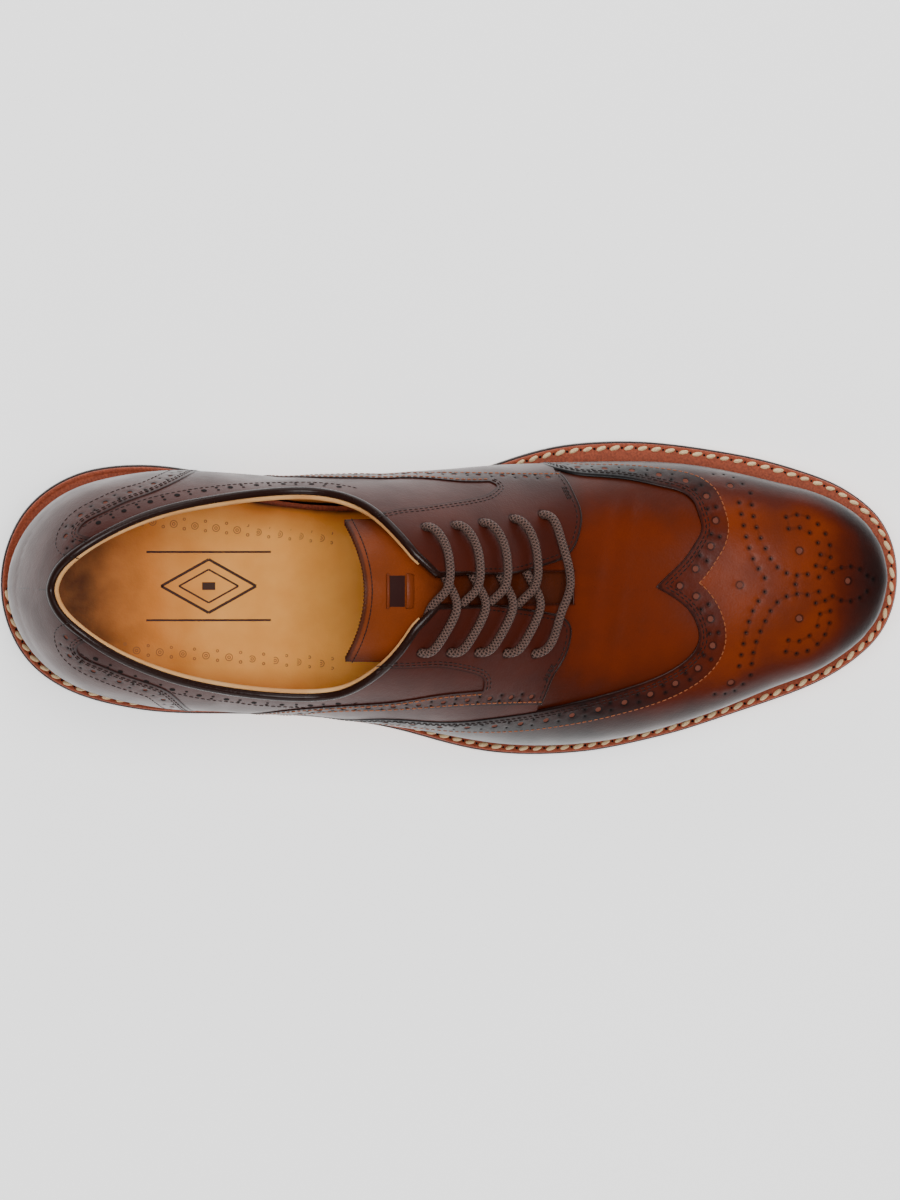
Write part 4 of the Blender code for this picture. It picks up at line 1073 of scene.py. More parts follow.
vamp_back = float(u_at(0.40))
slot_m = EDGES[1][EDGES[1][:, 0] > float(u_at(0.47))]
slot_l = EDGES[-1][EDGES[-1][:, 0] > float(u_at(0.47))]
vamp_outline = np.concatenate([
    foot_line(vamp_back, 1.0, -1.0)[:-1], toe_line()[:-1], foot_line(1.0, vamp_back, 1.0),
    [(vamp_back, 0.7), (float(u_at(0.43)), 0.3), (float(u_at(0.46)), 0.14)], slot_m, slot_l[::-1],
    [(float(u_at(0.46)), -0.14), (float(u_at(0.43)), -0.3), (vamp_back, -0.7)],
])
cut_panel("vamp", vamp_outline, (), 0.0, 1.0 * MM, VAMP_CALF, ("upper",), vamp_tone,
          spacing=2.6 * MM, press=0.0)
for side, label, front in ((1, "medial", FRONT_MEDIAL), (-1, "lateral", FRONT_LATERAL)):
    line = drawn(front)
    low_front = (float(line[-1, 0]), side * 0.985)
    edge = EDGES[side]
    edge = edge[edge[:, 0] < line[0, 0] - 0.002]
    back = np.stack([np.zeros(14), side * np.linspace(1.0, edge[0, 1] * side, 14)], 1)[1:-1]
    behind = moved(line, 0.8 * MM * side)
    foot = foot_line(0.0, low_front[0], side * 1.0)
    loop = np.concatenate([edge, behind, foot[::-1], back])
    if side > 0:
        loop = loop[::-1]
    cut_panel("quarter_" + label, loop, (), QUARTER_LIFT, 1.0 * MM, PLUM_CALF, (),
              quarter_tone, spacing=2.6 * MM)

# %% [markdown]
# ## Punched bands
# A gang punch makes the big hole and the pair beside it at one blow, step by step along the
# band. The floors of the large holes are the backing leather that shows in them; those of the
# small ones are discs of painted shade.

# %% Bands of holes
BIG, SMALL = 1.2 * MM, 0.55 * MM
OVERLAY_LIFT = 1.45 * MM
FLOOR_LIFT = OVERLAY_LIFT - 0.45 * MM


def band_holes(edge, away, pitch=9.2 * MM, apart=1.5 * MM, trim=(4.0, 4.0), big=BIG, beside=None):
    """Holes of a band: large ones at a pitch and pairs of small ones between. trim is in mm."""
    middle = moved(edge, away, beside=beside)
    pairs = [moved(edge, away + apart, beside=beside), moved(edge, away - apart, beside=beside)]
    run = run_of(surface(middle[:, 0], middle[:, 1]))
    count = int((run[-1] - sum(trim) * MM) / (pitch / 2))
    holes = []
    for k in range(count + 1):
        at = trim[0] * MM + k * pitch / 2
        u, g = (float(np.interp(at, run, middle[:, i])) for i in range(2))
        if k % 2 == 0:
            holes.append((u, g, big))
            continue
        for row in pairs:
            flat_row = surface(row[:, 0], row[:, 1])
            spot = surface(np.array([u]), np.array([g]))[0]
            near = row[np.argmin(np.linalg.norm(flat_row - spot, axis=1))]
            holes.append((float(near[0]), float(near[1]), SMALL))
    return holes


def floors(name, holes, lift, seed):
    """The floors of large and small holes: backing leather in the large ones, discs of painted shade in
    the small ones.
    """
    for label, wanted, material in (("large", True, HOLE_FLOOR), ("small", False, HOLE_DARK)):
        chosen = np.array([h for h in holes if (h[2] > 0.9 * MM) == wanted])
        if not len(chosen):
            continue
        u, g = chosen[:, 0], chosen[:, 1]
        normal, along, _ = outward(u, g)
        points = skin(u, g, np.full(len(u), lift))
        floor_disc = disc(name + label, chosen[:, 2].max() * 1.15, sides=10)
        repeat("%s_%s_floors" % (name, label), [(points, along, normal)], floor_disc, material,
               seed)


# %% [markdown]
# ## Medallion
# The toe's medallion is punched through a paper pattern, folded down its middle so that both
# halves match. Each row here is a few points and a count, and is mirrored the same way.

# %% Medallion rows: (forward, sideways) in mm from its rear hole, and how many holes in the row
MEDALLION = (
    (((0.3, 26.9), (2.4, 15.3), (5.1, 7.5), (8.5, 2.3)), 8),
    (((4.4, 29.9), (5.4, 20.4), (8.5, 12.6), (12.9, 5.8), (19.7, 3.1), (23.5, 3.4)), 11),
    (((16.3, 22.1), (19.7, 22.8), (27.2, 20.0), (31.6, 12.9), (31.6, 8.5), (29.9, 5.4)), 8),
    (((17.0, 18.4), (20.7, 18.7), (27.2, 13.9), (28.2, 9.9), (26.5, 6.1), (27.6, 2.4)), 7),
    (((32.5, 4.0), (35.4, 5.4), (38.6, 5.8), (42.0, 4.9), (45.0, 2.6)), 5),
    (((-7.5, 36.4), (-1.0, 35.5), (2.0, 33.0)), 4),
)
MEDALLION_LARGE = (
    (0.0, 0.0), (20.7, 11.2), (20.7, -11.2), (38.1, 0.0), (-2.2, 32.5), (-2.2, -32.5),
)
MEDALLION_AT = (0.8120, 0.004)


def medallion_holes():
    """The medallion: mirrored rows of small holes round six large ones."""
    spots = [(x, y, BIG) for x, y in MEDALLION_LARGE]
    spots += [(19.2, 0.0, SMALL), (47.3, 0.0, SMALL)]
    for rows, count in MEDALLION:
        rows = np.array(rows)
        run = run_of(rows)
        at = np.linspace(0, run[-1], count)
        path = np.stack([smooth_curve(run, rows[:, k])(at) for k in range(2)], 1)
        spots += [(x, side * y, SMALL) for x, y in path for side in (1, -1)]
    spots = np.array(spots)
    u = u_at(MEDALLION_AT[0] + spots[:, 0] * MM / SHOE_LENGTH)
    y = MEDALLION_AT[1] * BALL_WIDTH + spots[:, 1] * MM + swing_at(length_of(u) * SHOE_LENGTH) * 0.1
    return list(zip(u.tolist(), girth_over(u, y).tolist(), spots[:, 2].tolist()))


print("medallion holes:", len(medallion_holes()))

# %% [markdown]
# ## Wingtip
# The toe cap with its two wings, skived thin at the edge and laid over the vamp. Its band is
# stained darker up to the inner stitch row, the toe burnished nearly black round its rim.

# %% Wingtip
def beside_line(line, reach):
    """A function of (u, girth): 1 within a reach of the line, 0 beyond it."""
    tree = tree_of(surface(line[:, 0], line[:, 1]))

    def near(u, girth):
        far = np.array([tree.find(p)[2] for p in surface(u, girth)])
        return 1 - step(far, reach - 0.2 * MM, reach + 0.2 * MM)

    return near


wing_medial = drawn(WING_MEDIAL)
wing_lateral = drawn(WING_LATERAL)
in_wing_band = beside_line(np.concatenate([wing_medial, wing_lateral]), 9.0 * MM)


def wing_tone(u, girth, rim):
    """Light over the toe's middle, nearly black round the toe, dark in the band."""
    length = length_of(u)
    low = step(np.abs(girth), 0.36, 0.74)
    tip = step(length, 0.900, 0.975)
    waist = 1 - step(length, 0.62, 0.74)
    return 0.12 + 0.70 * low + 0.75 * tip + 0.20 * waist + 0.26 * in_wing_band(u, girth)


wing_outline = np.concatenate([
    wing_lateral[::-1][:-1], foot_line(wing_lateral[0, 0], 1.0, -0.985)[:-1],
    np.stack([np.ones(24), np.linspace(-0.985, 0.985, 24)], 1)[:-1],
    foot_line(1.0, wing_medial[-1, 0], 0.985)[:-1], wing_medial[::-1][:-1],
])
wing_holes = band_holes(wing_medial, -4.8 * MM, trim=(7.0, 14.0), beside=wing_lateral)
wing_holes += band_holes(wing_lateral[::-1], 4.8 * MM, trim=(7.0, 30.0), beside=wing_medial)
wing_holes += [(float(u_at(0.7445)), 0.006, BIG)]
wing_holes += medallion_holes()


def separate(holes, gap=0.35 * MM):
    """Leave out holes that would run into one another."""
    kept = []
    places = surface(np.array([h[0] for h in holes]), np.array([h[1] for h in holes]))
    for hole, place in sorted(zip(holes, places), key=lambda pair: -pair[0][2]):
        if all(np.linalg.norm(place - other) > hole[2] + one[2] + gap for one, other in kept):
            kept.append((hole, place))
    return [hole for hole, _ in kept]


wing_holes = separate(wing_holes)
wing_guides = [spaced(moved(wing_medial, -d * MM, beside=wing_lateral), 0.9 * MM) for d in (8.7, 9.3)]
wing_guides += [spaced(moved(wing_lateral, -d * MM, beside=wing_medial), 0.9 * MM) for d in (8.7, 9.3)]
cut_panel("wingtip_panel", wing_outline, wing_holes, OVERLAY_LIFT, 1.1 * MM, WING_CALF,
          ("wingtip",), wing_tone, guides=wing_guides)
floors("wing", wing_holes, FLOOR_LIFT, 3)

# %% [markdown]
# ## Counter
# The heel overlay, in two halves that meet at the back seam. Its band curls round under the
# collar and goes down to the welt at the waist.

# %% Counter
def counter_tone(u, girth, rim):
    """Plum, dark low down."""
    return 0.35 + 0.40 * step(np.abs(girth), 0.5, 0.95)


counter_m, counter_l = drawn(COUNTER_MEDIAL), drawn(COUNTER_LATERAL)
counter_holes = []
for side, label, line in ((1, "medial", counter_m), (-1, "lateral", counter_l)):
    ends = (12.0, 6.0) if side > 0 else (6.0, 12.0)
    holes = band_holes(line, -4.6 * MM, trim=ends, big=1.0 * MM)
    edge = EDGES[side]
    u_top = line[-1, 0] if side > 0 else line[0, 0]
    upper_edge = moved(edge[edge[:, 0] < u_top], side * 0.6 * MM, tidy=False)
    foot = foot_line(0.0, line[0, 0] if side > 0 else line[-1, 0], side * 0.985)
    back = np.stack([np.zeros(14), np.linspace(upper_edge[0, 1], side * 0.985, 14)], 1)[1:-1]
    if side > 0:
        loop = np.concatenate([back, foot[:-1], line, upper_edge[::-1]])
    else:
        loop = np.concatenate([upper_edge, line, foot[::-1][1:], back[::-1]])
    loop[:, 0] = np.clip(loop[:, 0], 0, 1)
    holes = separate(holes)
    cut_panel("counter_" + label, round_about(loop), holes, OVERLAY_LIFT, 1.0 * MM, PLUM_CALF,
              ("counter",) if side > 0 else (), counter_tone)
    counter_holes += holes
floors("counter", counter_holes, FLOOR_LIFT, 5)
print("counter holes:", len(counter_holes))


# %% [markdown]
# ## Facings
# Each facing is the quarter's stiffened front. It carries five plain punched lace holes and
# runs back along the quarter as a punched band that goes down to the welt at the waist.

# %% Facings
HOLES_LATERAL = (
    (0.452, -0.185), (0.484, -0.187), (0.515, -0.190), (0.547, -0.195), (0.580, -0.200),
)
HOLES_MEDIAL = (
    (0.457, 0.185), (0.490, 0.190), (0.521, 0.197), (0.556, 0.208), (0.590, 0.220),
)


def facing_tone(u, girth, rim):
    """Plum, lighter in the middle of the facing, darker along the band."""
    return 0.22 + 0.35 * step(np.abs(girth), 0.30, 0.60)


stitch_rows = {"dark": [], "rust": []}
facing_holes = []
for side, label, front, seam, band_up, band_low, eyelets in (
        (1, "medial", FRONT_MEDIAL, SEAM_MEDIAL, BAND_MEDIAL_UP, BAND_MEDIAL_LOW, HOLES_MEDIAL),
        (-1, "lateral", FRONT_LATERAL, SEAM_LATERAL, BAND_LATERAL_UP, BAND_LATERAL_LOW, HOLES_LATERAL)):
    front_line, seam_line = drawn(front), drawn(seam)
    up_line, low_line = drawn(band_up), drawn(band_low)
    seam_line = seam_line[seam_line[:, 0] > float(u_at(0.402))]
    edge = EDGES[side]
    edge = edge[(edge[:, 0] > seam_line[0, 0]) & (edge[:, 0] < front_line[0, 0] - 0.002)]
    loop = np.concatenate([edge, front_line, low_line, up_line[::-1], seam_line[::-1][1:]])
    places = np.array(eyelets)
    u = u_at(places[:, 0])
    g = girth_over(u, places[:, 1] * BALL_WIDTH)
    lace_holes = [(float(a), float(b), 1.7 * MM) for a, b in zip(u, g)]
    punched = separate(band_holes(low_line, side * 3.2 * MM, pitch=8.3 * MM, apart=1.2 * MM,
                                  trim=(5.0, 8.0), big=1.05 * MM))
    cut_panel("facing_panel_" + label, round_about(loop), lace_holes + punched, OVERLAY_LIFT,
              1.1 * MM, PLUM_CALF, ("facing_" + label,), facing_tone,
              spacing=1.8 * MM)
    facing_holes += punched
    rim_line = np.concatenate([edge[8:], front_line])
    rim_path = skin(*rim_line.T, np.full(len(rim_line), OVERLAY_LIFT - 0.5 * MM))
    swept("facing_edge_" + label, rim_path, outward(*rim_line.T)[0], oval(0.42 * MM, 0.55 * MM, 8),
          BINDING_CALF)
    floors("lace_holes_" + label, lace_holes, FLOOR_LIFT, 7)
    for away in (1.2, 2.3):
        stitch_rows["dark"].append(on_skin(moved(seam_line, -side * away * MM), PITCH, OVERLAY_LIFT))
    stitch_rows["dark"].append(on_skin(moved(front_line, side * 1.5 * MM), PITCH, OVERLAY_LIFT))
    stitch_rows["rust"].append(on_skin(moved(low_line, side * 1.2 * MM), PITCH, OVERLAY_LIFT))
    stitch_rows["rust"].append(on_skin(moved(up_line, -side * 1.2 * MM), PITCH, OVERLAY_LIFT))
    collar = EDGES[side]
    collar = collar[(collar[:, 0] > 0.16) & (collar[:, 0] < float(u_at(0.375)))]
    stitch_rows["dark"].append(on_skin(moved(collar, side * 7.2 * MM), PITCH, QUARTER_LIFT))
    # a bar tack where the front takes the strain
    corner = front_line[-19:-11]
    for away in (1.9, 2.5, 3.1):
        tack = moved(corner, side * away * MM, tidy=False)
        stitch_rows["dark"].append(on_skin(tack, 1.5 * MM, OVERLAY_LIFT))
floors("band", facing_holes, FLOOR_LIFT, 9)

# %% [markdown]
# ## Collar strip
# A row of holes runs under the binding, large and small in turn. They are shallow here, so each
# one is a disc of painted shade a hair over the quarter.

# %% Collar strip
COLLAR_HOLE = 0.95 * MM
for side in (1, -1):
    collar = EDGES[side]
    collar = collar[(collar[:, 0] > 0.17) & (collar[:, 0] < float(u_at(0.372)))]
    chosen = np.array(band_holes(collar, side * 5.0 * MM, pitch=9.4 * MM, apart=0.9 * MM,
                                 trim=(3.0, 3.0), big=COLLAR_HOLE))
    u, g = chosen[:, 0], chosen[:, 1]
    normal, along, _ = outward(u, g)
    for size in (COLLAR_HOLE, SMALL):
        pick = np.isclose(chosen[:, 2], size)
        points = skin(u[pick], g[pick], np.full(pick.sum(), QUARTER_LIFT + 0.06 * MM))
        name = "collar_holes_%s_%d" % ("medial" if side > 0 else "lateral", round(size * 1e5))
        dark_disc = disc("collar_hole_%d_%d" % (side, size * 1e5), size, sides=10)
        repeat(name, [(points, along[pick], normal[pick])], dark_disc, HOLE_DARK,
               11)

# %% [markdown]
# ## Stitches
# Panels are sewn with fine waxed thread, about twelve stitches to the inch: two dark rows beside
# each folded edge and a lighter one beyond the holes. One stitch is made once and repeated.

# %% Stitch rows
for line, side, other in ((wing_medial, -1, wing_lateral), (wing_lateral[::-1], 1, wing_medial)):
    for away, thread in ((1.3, "dark"), (2.4, "dark"), (9.0, "rust")):
        row = moved(line, side * away * MM, beside=other)
        row = row[np.abs(row[:, 1]) < 0.93]
        stitch_rows[thread].append(on_skin(row, PITCH, OVERLAY_LIFT))
for line in (counter_m, counter_l):
    for away, thread in ((1.2, "dark"), (2.2, "dark"), (8.6, "dark")):
        row = moved(line, -away * MM)
        row = row[np.abs(row[:, 1]) < 0.93]
        stitch_rows[thread].append(on_skin(row, PITCH, OVERLAY_LIFT))
for thread, material in (("dark", DARK_THREAD), ("rust", RUST_THREAD)):
    repeat("stitches_" + thread, stitch_rows[thread], STITCH, material, 13)

# %% [markdown]
# ## Collar binding and lining
# A folded strip is rolled over the collar's edge and runs on down the throat. The lining comes
# up inside it and shows as a pale line.

# %% Binding
limit = float(u_at(0.52))
rims = [EDGES[side][EDGES[side][:, 0] < limit] for side in (-1, 1)]
path_line = np.concatenate([rims[0][::-1], rims[1][1:]])
normal = outward(path_line[:, 0], path_line[:, 1])[0]
places = surface(path_line[:, 0], path_line[:, 1])
ahead = np.gradient(places, axis=0)
upwards = np.cross(normal, ahead)
upwards /= np.linalg.norm(upwards, axis=1, keepdims=True)
to_crown = surface(path_line[:, 0], path_line[:, 1] * 0.97) - places
upwards *= np.sign((upwards * to_crown).sum(1))[:, None]
fade = 1 - 0.55 * step(path_line[:, 0], float(u_at(0.45)), limit)
sink = (0.35 * MM) * (1 - fade)[:, None] * 2
binding_path = places + 0.25 * MM * normal + (0.35 * MM - sink) * upwards
swept("binding_roll", binding_path, normal, oval(1.45 * MM, 1.35 * MM), BINDING_CALF,
      ("collar_binding",), fade)


swept("lining_fold", (places - 1.7 * MM * normal + 0.6 * MM * upwards)[25:-25], normal[25:-25],
      oval(0.75 * MM, 0.95 * MM, 12), LINING)


def lining_painted_shade(u, girth, rim):
    """Painted shade: pale at the collar, darker further inside the shoe and further forward."""
    shade_further_in = step(np.abs(girth), 0.4, 0.95)
    return 0.15 + 0.5 * shade_further_in + 0.3 * step(length_of(u), 0.4, 0.6)


lining_end = float(u_at(0.66))
for side, label in ((1, "medial"), (-1, "lateral")):
    edge = EDGES[side]
    edge = moved(edge, -side * 0.6 * MM, tidy=False)
    edge[:, 1] *= 1 + 0.6 * step(edge[:, 0], float(u_at(0.445)), float(u_at(0.475)))
    edge = edge[edge[:, 0] < lining_end]
    edge[:, 0] = np.clip(edge[:, 0], 0, 1)
    foot = foot_line(0.0, lining_end, side * 0.97)
    back = np.stack([np.zeros(14), np.linspace(edge[0, 1], side * 0.97, 14)], 1)[1:-1]
    front = np.stack([np.full(14, lining_end), np.linspace(edge[-1, 1], side * 0.97, 14)], 1)[1:-1]
    loop = np.concatenate([edge, front, foot[::-1], back[::-1]])
    cut_panel("lining_" + label, round_about(loop), (), -UPPER_WALL - 0.35 * MM, -0.9 * MM, LINING,
              (), lining_painted_shade, spacing=3.0 * MM, press=0.0, flip=True)

# %% [markdown]
# ## Tongue
# One soft russet piece, sewn in under the vamp. Its back edge is gimped, and a small keeper
# for the laces stands on it.

# %% Tongue
def plan_line(rows, pitch=1.0 * MM):
    """A line over the last from plan points: share of the length, millimetres sideways."""
    rows = np.array(rows, float)
    u = u_at(rows[:, 0])
    return spaced(np.stack([u, girth_over(u, rows[:, 1] * MM)], 1), pitch)


def tongue_painted_shade(u, girth, rim):
    """Painted shade: light in the middle, darker under the laces and under the facings."""
    shade_under_laces = step(length_of(u), 0.44, 0.52)
    return 0.15 + 0.5 * shade_under_laces + 0.4 * step(np.abs(girth), 0.20, 0.34)


TONGUE_LIFT = -UPPER_WALL - 1.2 * MM
TONGUE_HALF = 25.8
TONGUE_SIDE = (0.372, 0.45, 0.55, 0.655)
back_edge = plan_line([(0.372 + 0.022 * (1 - (y / 26.0) ** 2), y)
                       for y in np.linspace(-TONGUE_HALF, TONGUE_HALF, 60)])
side_medial = plan_line([(x, TONGUE_HALF) for x in TONGUE_SIDE])
side_lateral = plan_line([(x, -TONGUE_HALF) for x in TONGUE_SIDE[::-1]])
gimped = pinked(back_edge, pitch=1.5 * MM, depth=-0.4 * MM)
tongue_loop = np.concatenate([gimped, side_medial, side_lateral])
cut_panel("tongue_panel", round_about(tongue_loop), (), TONGUE_LIFT, 1.8 * MM, TONGUE_CALF,
          ("tongue",), tongue_painted_shade)
seam_row = on_skin(moved(back_edge, -2.2 * MM), 1.6 * MM, TONGUE_LIFT)
repeat("tongue_stitches", [seam_row], STITCH, DARK_THREAD, 17)


def patch(name, low, high, lift, material):
    """A small oblong of the last's surface between plan corners (length share, mm)."""
    tall, wide = 6, 8
    grid_u = np.repeat(u_at(np.linspace(low[0], high[0], tall)), wide)
    grid_g = girth_over(grid_u, np.tile(np.linspace(low[1], high[1], wide), tall) * MM)
    points = skin(grid_u, grid_g, np.full(tall * wide, lift))
    faces = [(i + j, i + j + 1, i + wide + j + 1, i + wide + j)
             for i in range(0, (tall - 1) * wide, wide) for j in range(wide - 1)]
    return show(name, points, [f[::-1] for f in faces], material)


# the keeper's slot is a dark sheet of painted shade
patch("keeper_slot", (0.420, -5.8), (0.438, 5.8), TONGUE_LIFT + 0.08 * MM, KEEPER_SHADOW)
for name, at, wide in (("keeper_strap", 0.4435, 1.5), ("keeper_back_edge", 0.4185, 0.6)):
    across = np.linspace(-6.2, 6.2, 26)
    u = np.full(26, float(u_at(at)))
    g = girth_over(u, across * MM)
    arch = 0.45 * MM * np.sqrt(np.clip(1 - (across / 6.3) ** 2, 0, 1))
    swept(name, skin(u, g, TONGUE_LIFT + arch), outward(u, g)[0], oval(wide * MM, 0.55 * MM),
          TONGUE_CALF)

# %% [markdown]
# ## Sole, welt and heel
# The welt is a strip round the shoe, sewn through to the outsole with thick cream thread. The
# heel is built of lifts and shaped together with the sole's edge.

# %% Plan outlines
def plan_loop(half_width, start, length, shares):
    """A closed outline in plan: medial side from heel to toe, back by the lateral side."""
    shares = np.asarray(shares, float)
    x = start + length * shares
    medial = swing_at(x) + half_width(round_place(shares), True)
    lateral = swing_at(x) - half_width(round_place(shares), False)
    back = slice(-2, 0, -1) if shares[-1] > 1 - 1e-9 else slice(None, 0, -1)
    return np.concatenate([np.stack([x, medial], 1), np.stack([x, lateral], 1)[back]])


def inset(loop, distance):
    """A loop of plan points moved inwards."""
    ahead = np.roll(loop, -1, axis=0) - np.roll(loop, 1, axis=0)
    ahead = ahead / np.linalg.norm(ahead, axis=1, keepdims=True)
    return loop + np.stack([ahead[:, 1], -ahead[:, 0]], 1) * distance


def sole_half(u, medial):
    """The outsole's half width."""
    return BALL_WIDTH * (SOLE_MEDIAL if medial else SOLE_LATERAL)(u)


def foot_half(u, medial):
    """The upper's half width where it meets the welt."""
    wide, tuck = (WIDE_M, TUCK_M) if medial else (WIDE_L, TUCK_L)
    return BALL_WIDTH * (wide(u) - tuck(u))


def raised(loop, height):
    """A plan loop lifted to a height over x, in the shoe's frame."""
    return np.array([(x - ORIGIN_X, y, float(height(x))) for x, y in loop])


def stacked(name, loops, material, nodes=(), closed=True, values=None):
    """A body through loops, its ends filled by strips across the shoe."""
    count = len(loops[0])
    half = count // 2
    faces = []
    for k in range(len(loops) - 1):
        a, b = k * count, (k + 1) * count
        faces += [(a + i, b + i, b + (i + 1) % count, a + (i + 1) % count) for i in range(count)]
    strip = [(0, 1, count - 1)] + [(k, k + 1, count - k - 1, count - k) for k in range(1, half - 1)]
    strip += [(half - 1, half, half + 1)]
    if closed:
        faces += [tuple(f) for f in strip]
        top = (len(loops) - 1) * count
        faces += [tuple(top + i for i in f)[::-1] for f in strip]
    piece = show(name, np.concatenate(loops), faces, material, nodes, None, values)
    piece.data.set_sharp_from_angle(angle=math.radians(38))
    return piece


SHARES = length_share(np.linspace(0, 1, 121))
outline = plan_loop(sole_half, 0.0, SHOE_LENGTH, SHARES)
foot = plan_loop(foot_half, HEEL_MARGIN, UPPER_LENGTH, SHARES)


def under(rise):
    """A height over the sole's underside."""
    return lambda x: sole_underside(x) + rise


outsole = stacked("outsole_body", [
    raised(inset(outline, 0.0011), under(0.0)), raised(inset(outline, 0.0004), under(0.0003)),
    raised(inset(outline, 0.0001), under(0.0011)), raised(outline, under(0.0024)),
    raised(outline, under(0.0044)), raised(inset(outline, 0.0003), under(0.0053)),
    raised(inset(outline, 0.0010), under(0.0055)),
], EDGE_LEATHER, ("outsole",))
outsole.data.materials.append(SOLE_LEATHER)
for face in outsole.data.polygons:
    face.material_index = int(face.normal.z < -0.6)

WELT_BASE = OUTSOLE_THICKNESS + 0.3 * MM
GROOVE, GROOVE_HALF = 2.3 * MM, 0.7 * MM
# distance inside the outline and height, in mm: up the edge, over the corner, down the groove
WELT_ROWS = ((0.8, 0.0), (0.7, 2.2), (1.0, 2.8), (1.4, 3.0))
welt_loops = [raised(inset(outline, d * MM), under(WELT_BASE + h * MM)) for d, h in WELT_ROWS]
for away, height in ((-GROOVE_HALF, 3.0), (0.0, 2.75), (GROOVE_HALF, 3.0)):
    welt_loops.append(raised(inset(outline, GROOVE + away), under(WELT_BASE + height * MM)))
welt_loops.append(raised(inset(foot, 5.0 * MM), under(WELT_BASE + WELT_THICKNESS)))
stacked("welt_strip", welt_loops, WELT_LEATHER, ("welt",), closed=False)

# %% [markdown]
# ## Welt stitches
# The welt is sewn to the outsole with a thick doubled thread, about five stitches to the inch.
# Each stitch slants a little, because the needle comes up beside the stitch before.

# %% Welt stitches
seam_loop = raised(inset(outline, GROOVE), under(WELT_BASE + WELT_THICKNESS))
seam_loop = np.roll(seam_loop, -4, axis=0)
run = run_of(seam_loop)
WELT_PITCH = 4.7 * MM
at = np.arange(0, run[-1], WELT_PITCH)
where = np.stack([np.interp(at, run, seam_loop[:, k]) for k in range(2)], 1)
# the seam is open round the forefoot and at the heel's outer side, closed in a channel elsewhere
SEAM_FROM_MEDIAL, SEAM_FROM_LATERAL, SEAM_TO_HEEL = 0.137, 0.100, 0.008
outer = (where[:, 0] > SEAM_FROM_LATERAL) | (where[:, 0] < SEAM_TO_HEEL)
at = at[np.where(where[:, 1] > 0, where[:, 0] > SEAM_FROM_MEDIAL, outer)]


def loop_row(at):
    """A row for repeat round the welt's groove."""
    points = np.stack([np.interp(at, run, seam_loop[:, k]) for k in range(3)], 1)
    ahead = np.stack([np.interp(at + 0.0005, run, seam_loop[:, k]) for k in range(3)], 1) - points
    return points, ahead, np.tile([0.0, 0.0, 1.0], (len(at), 1))


points, ahead, up = loop_row(at)
STITCH_SLANT = 0.30
ahead = ahead + STITCH_SLANT * np.stack([-ahead[:, 1], ahead[:, 0], 0 * ahead[:, 0]], 1)
thick_stitch = capsule("thick_stitch", 3.5 * MM, 1.5 * MM, 0.65 * MM)
repeat("welt_stitches", [(points, ahead, up)], thick_stitch, CREAM_THREAD, 19)
points, ahead, up = loop_row(at + WELT_PITCH / 2)
# each needle hole is a disc of painted shade
repeat("welt_needle_holes", [(points + [0, 0, 0.02 * MM], ahead, up)],
       disc("needle_hole", 0.42 * MM, sides=8), HOLE_DARK, 23)

# %% [markdown]
# ## Heel
# Three leather lifts and a rubber top lift, pegged together and rasped as one, so the grooves
# between them stay fine. Loops at several heights give both the taper and the grooves.

# %% Heel: three lifts and a rubber top lift
heel_shares = np.concatenate([SHARES[SHARES < 0.235], [HEEL_LENGTH / SHOE_LENGTH]])


def heel_loop(z):
    """The heel's outline at a height: tapered, its front hollowed."""
    pull = 0.9 * MM + HEEL_TAPER * (1 - z / HEEL_HEIGHT)
    around = inset(plan_loop(sole_half, 0.0, SHOE_LENGTH, heel_shares), pull)
    half = len(heel_shares) - 1
    front = HEEL_LENGTH - 0.3 * MM
    around[half] = front, around[half - 1][1]
    around[half + 1] = front, around[half + 2][1]
    middle = [(front - BREAST_HOLLOW, 0.0)]
    closed = np.concatenate([around[:half + 1], middle, around[half + 1:]])
    return np.array([(x - ORIGIN_X, y, z) for x, y in closed])


def lifted(name, low, high, lifts, material, node):
    """Lifts of the heel with a fine groove between them."""
    loops = []
    for k in range(lifts):
        a = low + (high - low) * k / lifts
        b = low + (high - low) * (k + 1) / lifts
        for z, pull in ((a, 0.9985), (a + 0.0002, 1.0), (b - 0.0002, 1.0), (b, 0.9985)):
            loop = heel_loop(z)
            loop[:, :2] *= pull
            loops.append(loop)
    count = len(loops[0])
    faces = []
    for k in range(len(loops) - 1):
        a, b = k * count, (k + 1) * count
        faces += [(a + i, b + i, b + (i + 1) % count, a + (i + 1) % count) for i in range(count)]
    faces += [tuple(range(count)), tuple(range((len(loops) - 1) * count, len(loops) * count))[::-1]]
    piece = show(name, np.concatenate(loops), faces, material, (node,))
    piece.data.set_sharp_from_angle(angle=math.radians(30))


lifted("heel_lifts", TOP_LIFT_THICKNESS + 0.3 * MM, HEEL_HEIGHT - 0.3 * MM, 3, EDGE_LEATHER,
       "heel_block")
lifted("rubber_top_lift", 0.0, TOP_LIFT_THICKNESS, 1, HEEL_RUBBER, "top_lift")

# %% [markdown]
# ## Insole
# A tan leather sock lies inside, with painted shade darkening it at the heel, along its edge by
# the upper and towards the toe. Its border is pressed with small ringed dots, and a plain lozenge
# between two rules is printed on it. Both lie a hair over the leather as flat ink, which is
# simpler to change than a picture.

# %% Insole
INSOLE_RISE = WELT_BASE + WELT_THICKNESS + INSOLE_THICKNESS
loops = [inset(foot, d) for d in (0.0026, 0.0040, 0.0070, 0.0120)]
heights = (0.0, -0.0004, -0.0009, -0.0012)
layers = [raised(loop, under(INSOLE_RISE + h)) for loop, h in zip(loops, heights)]
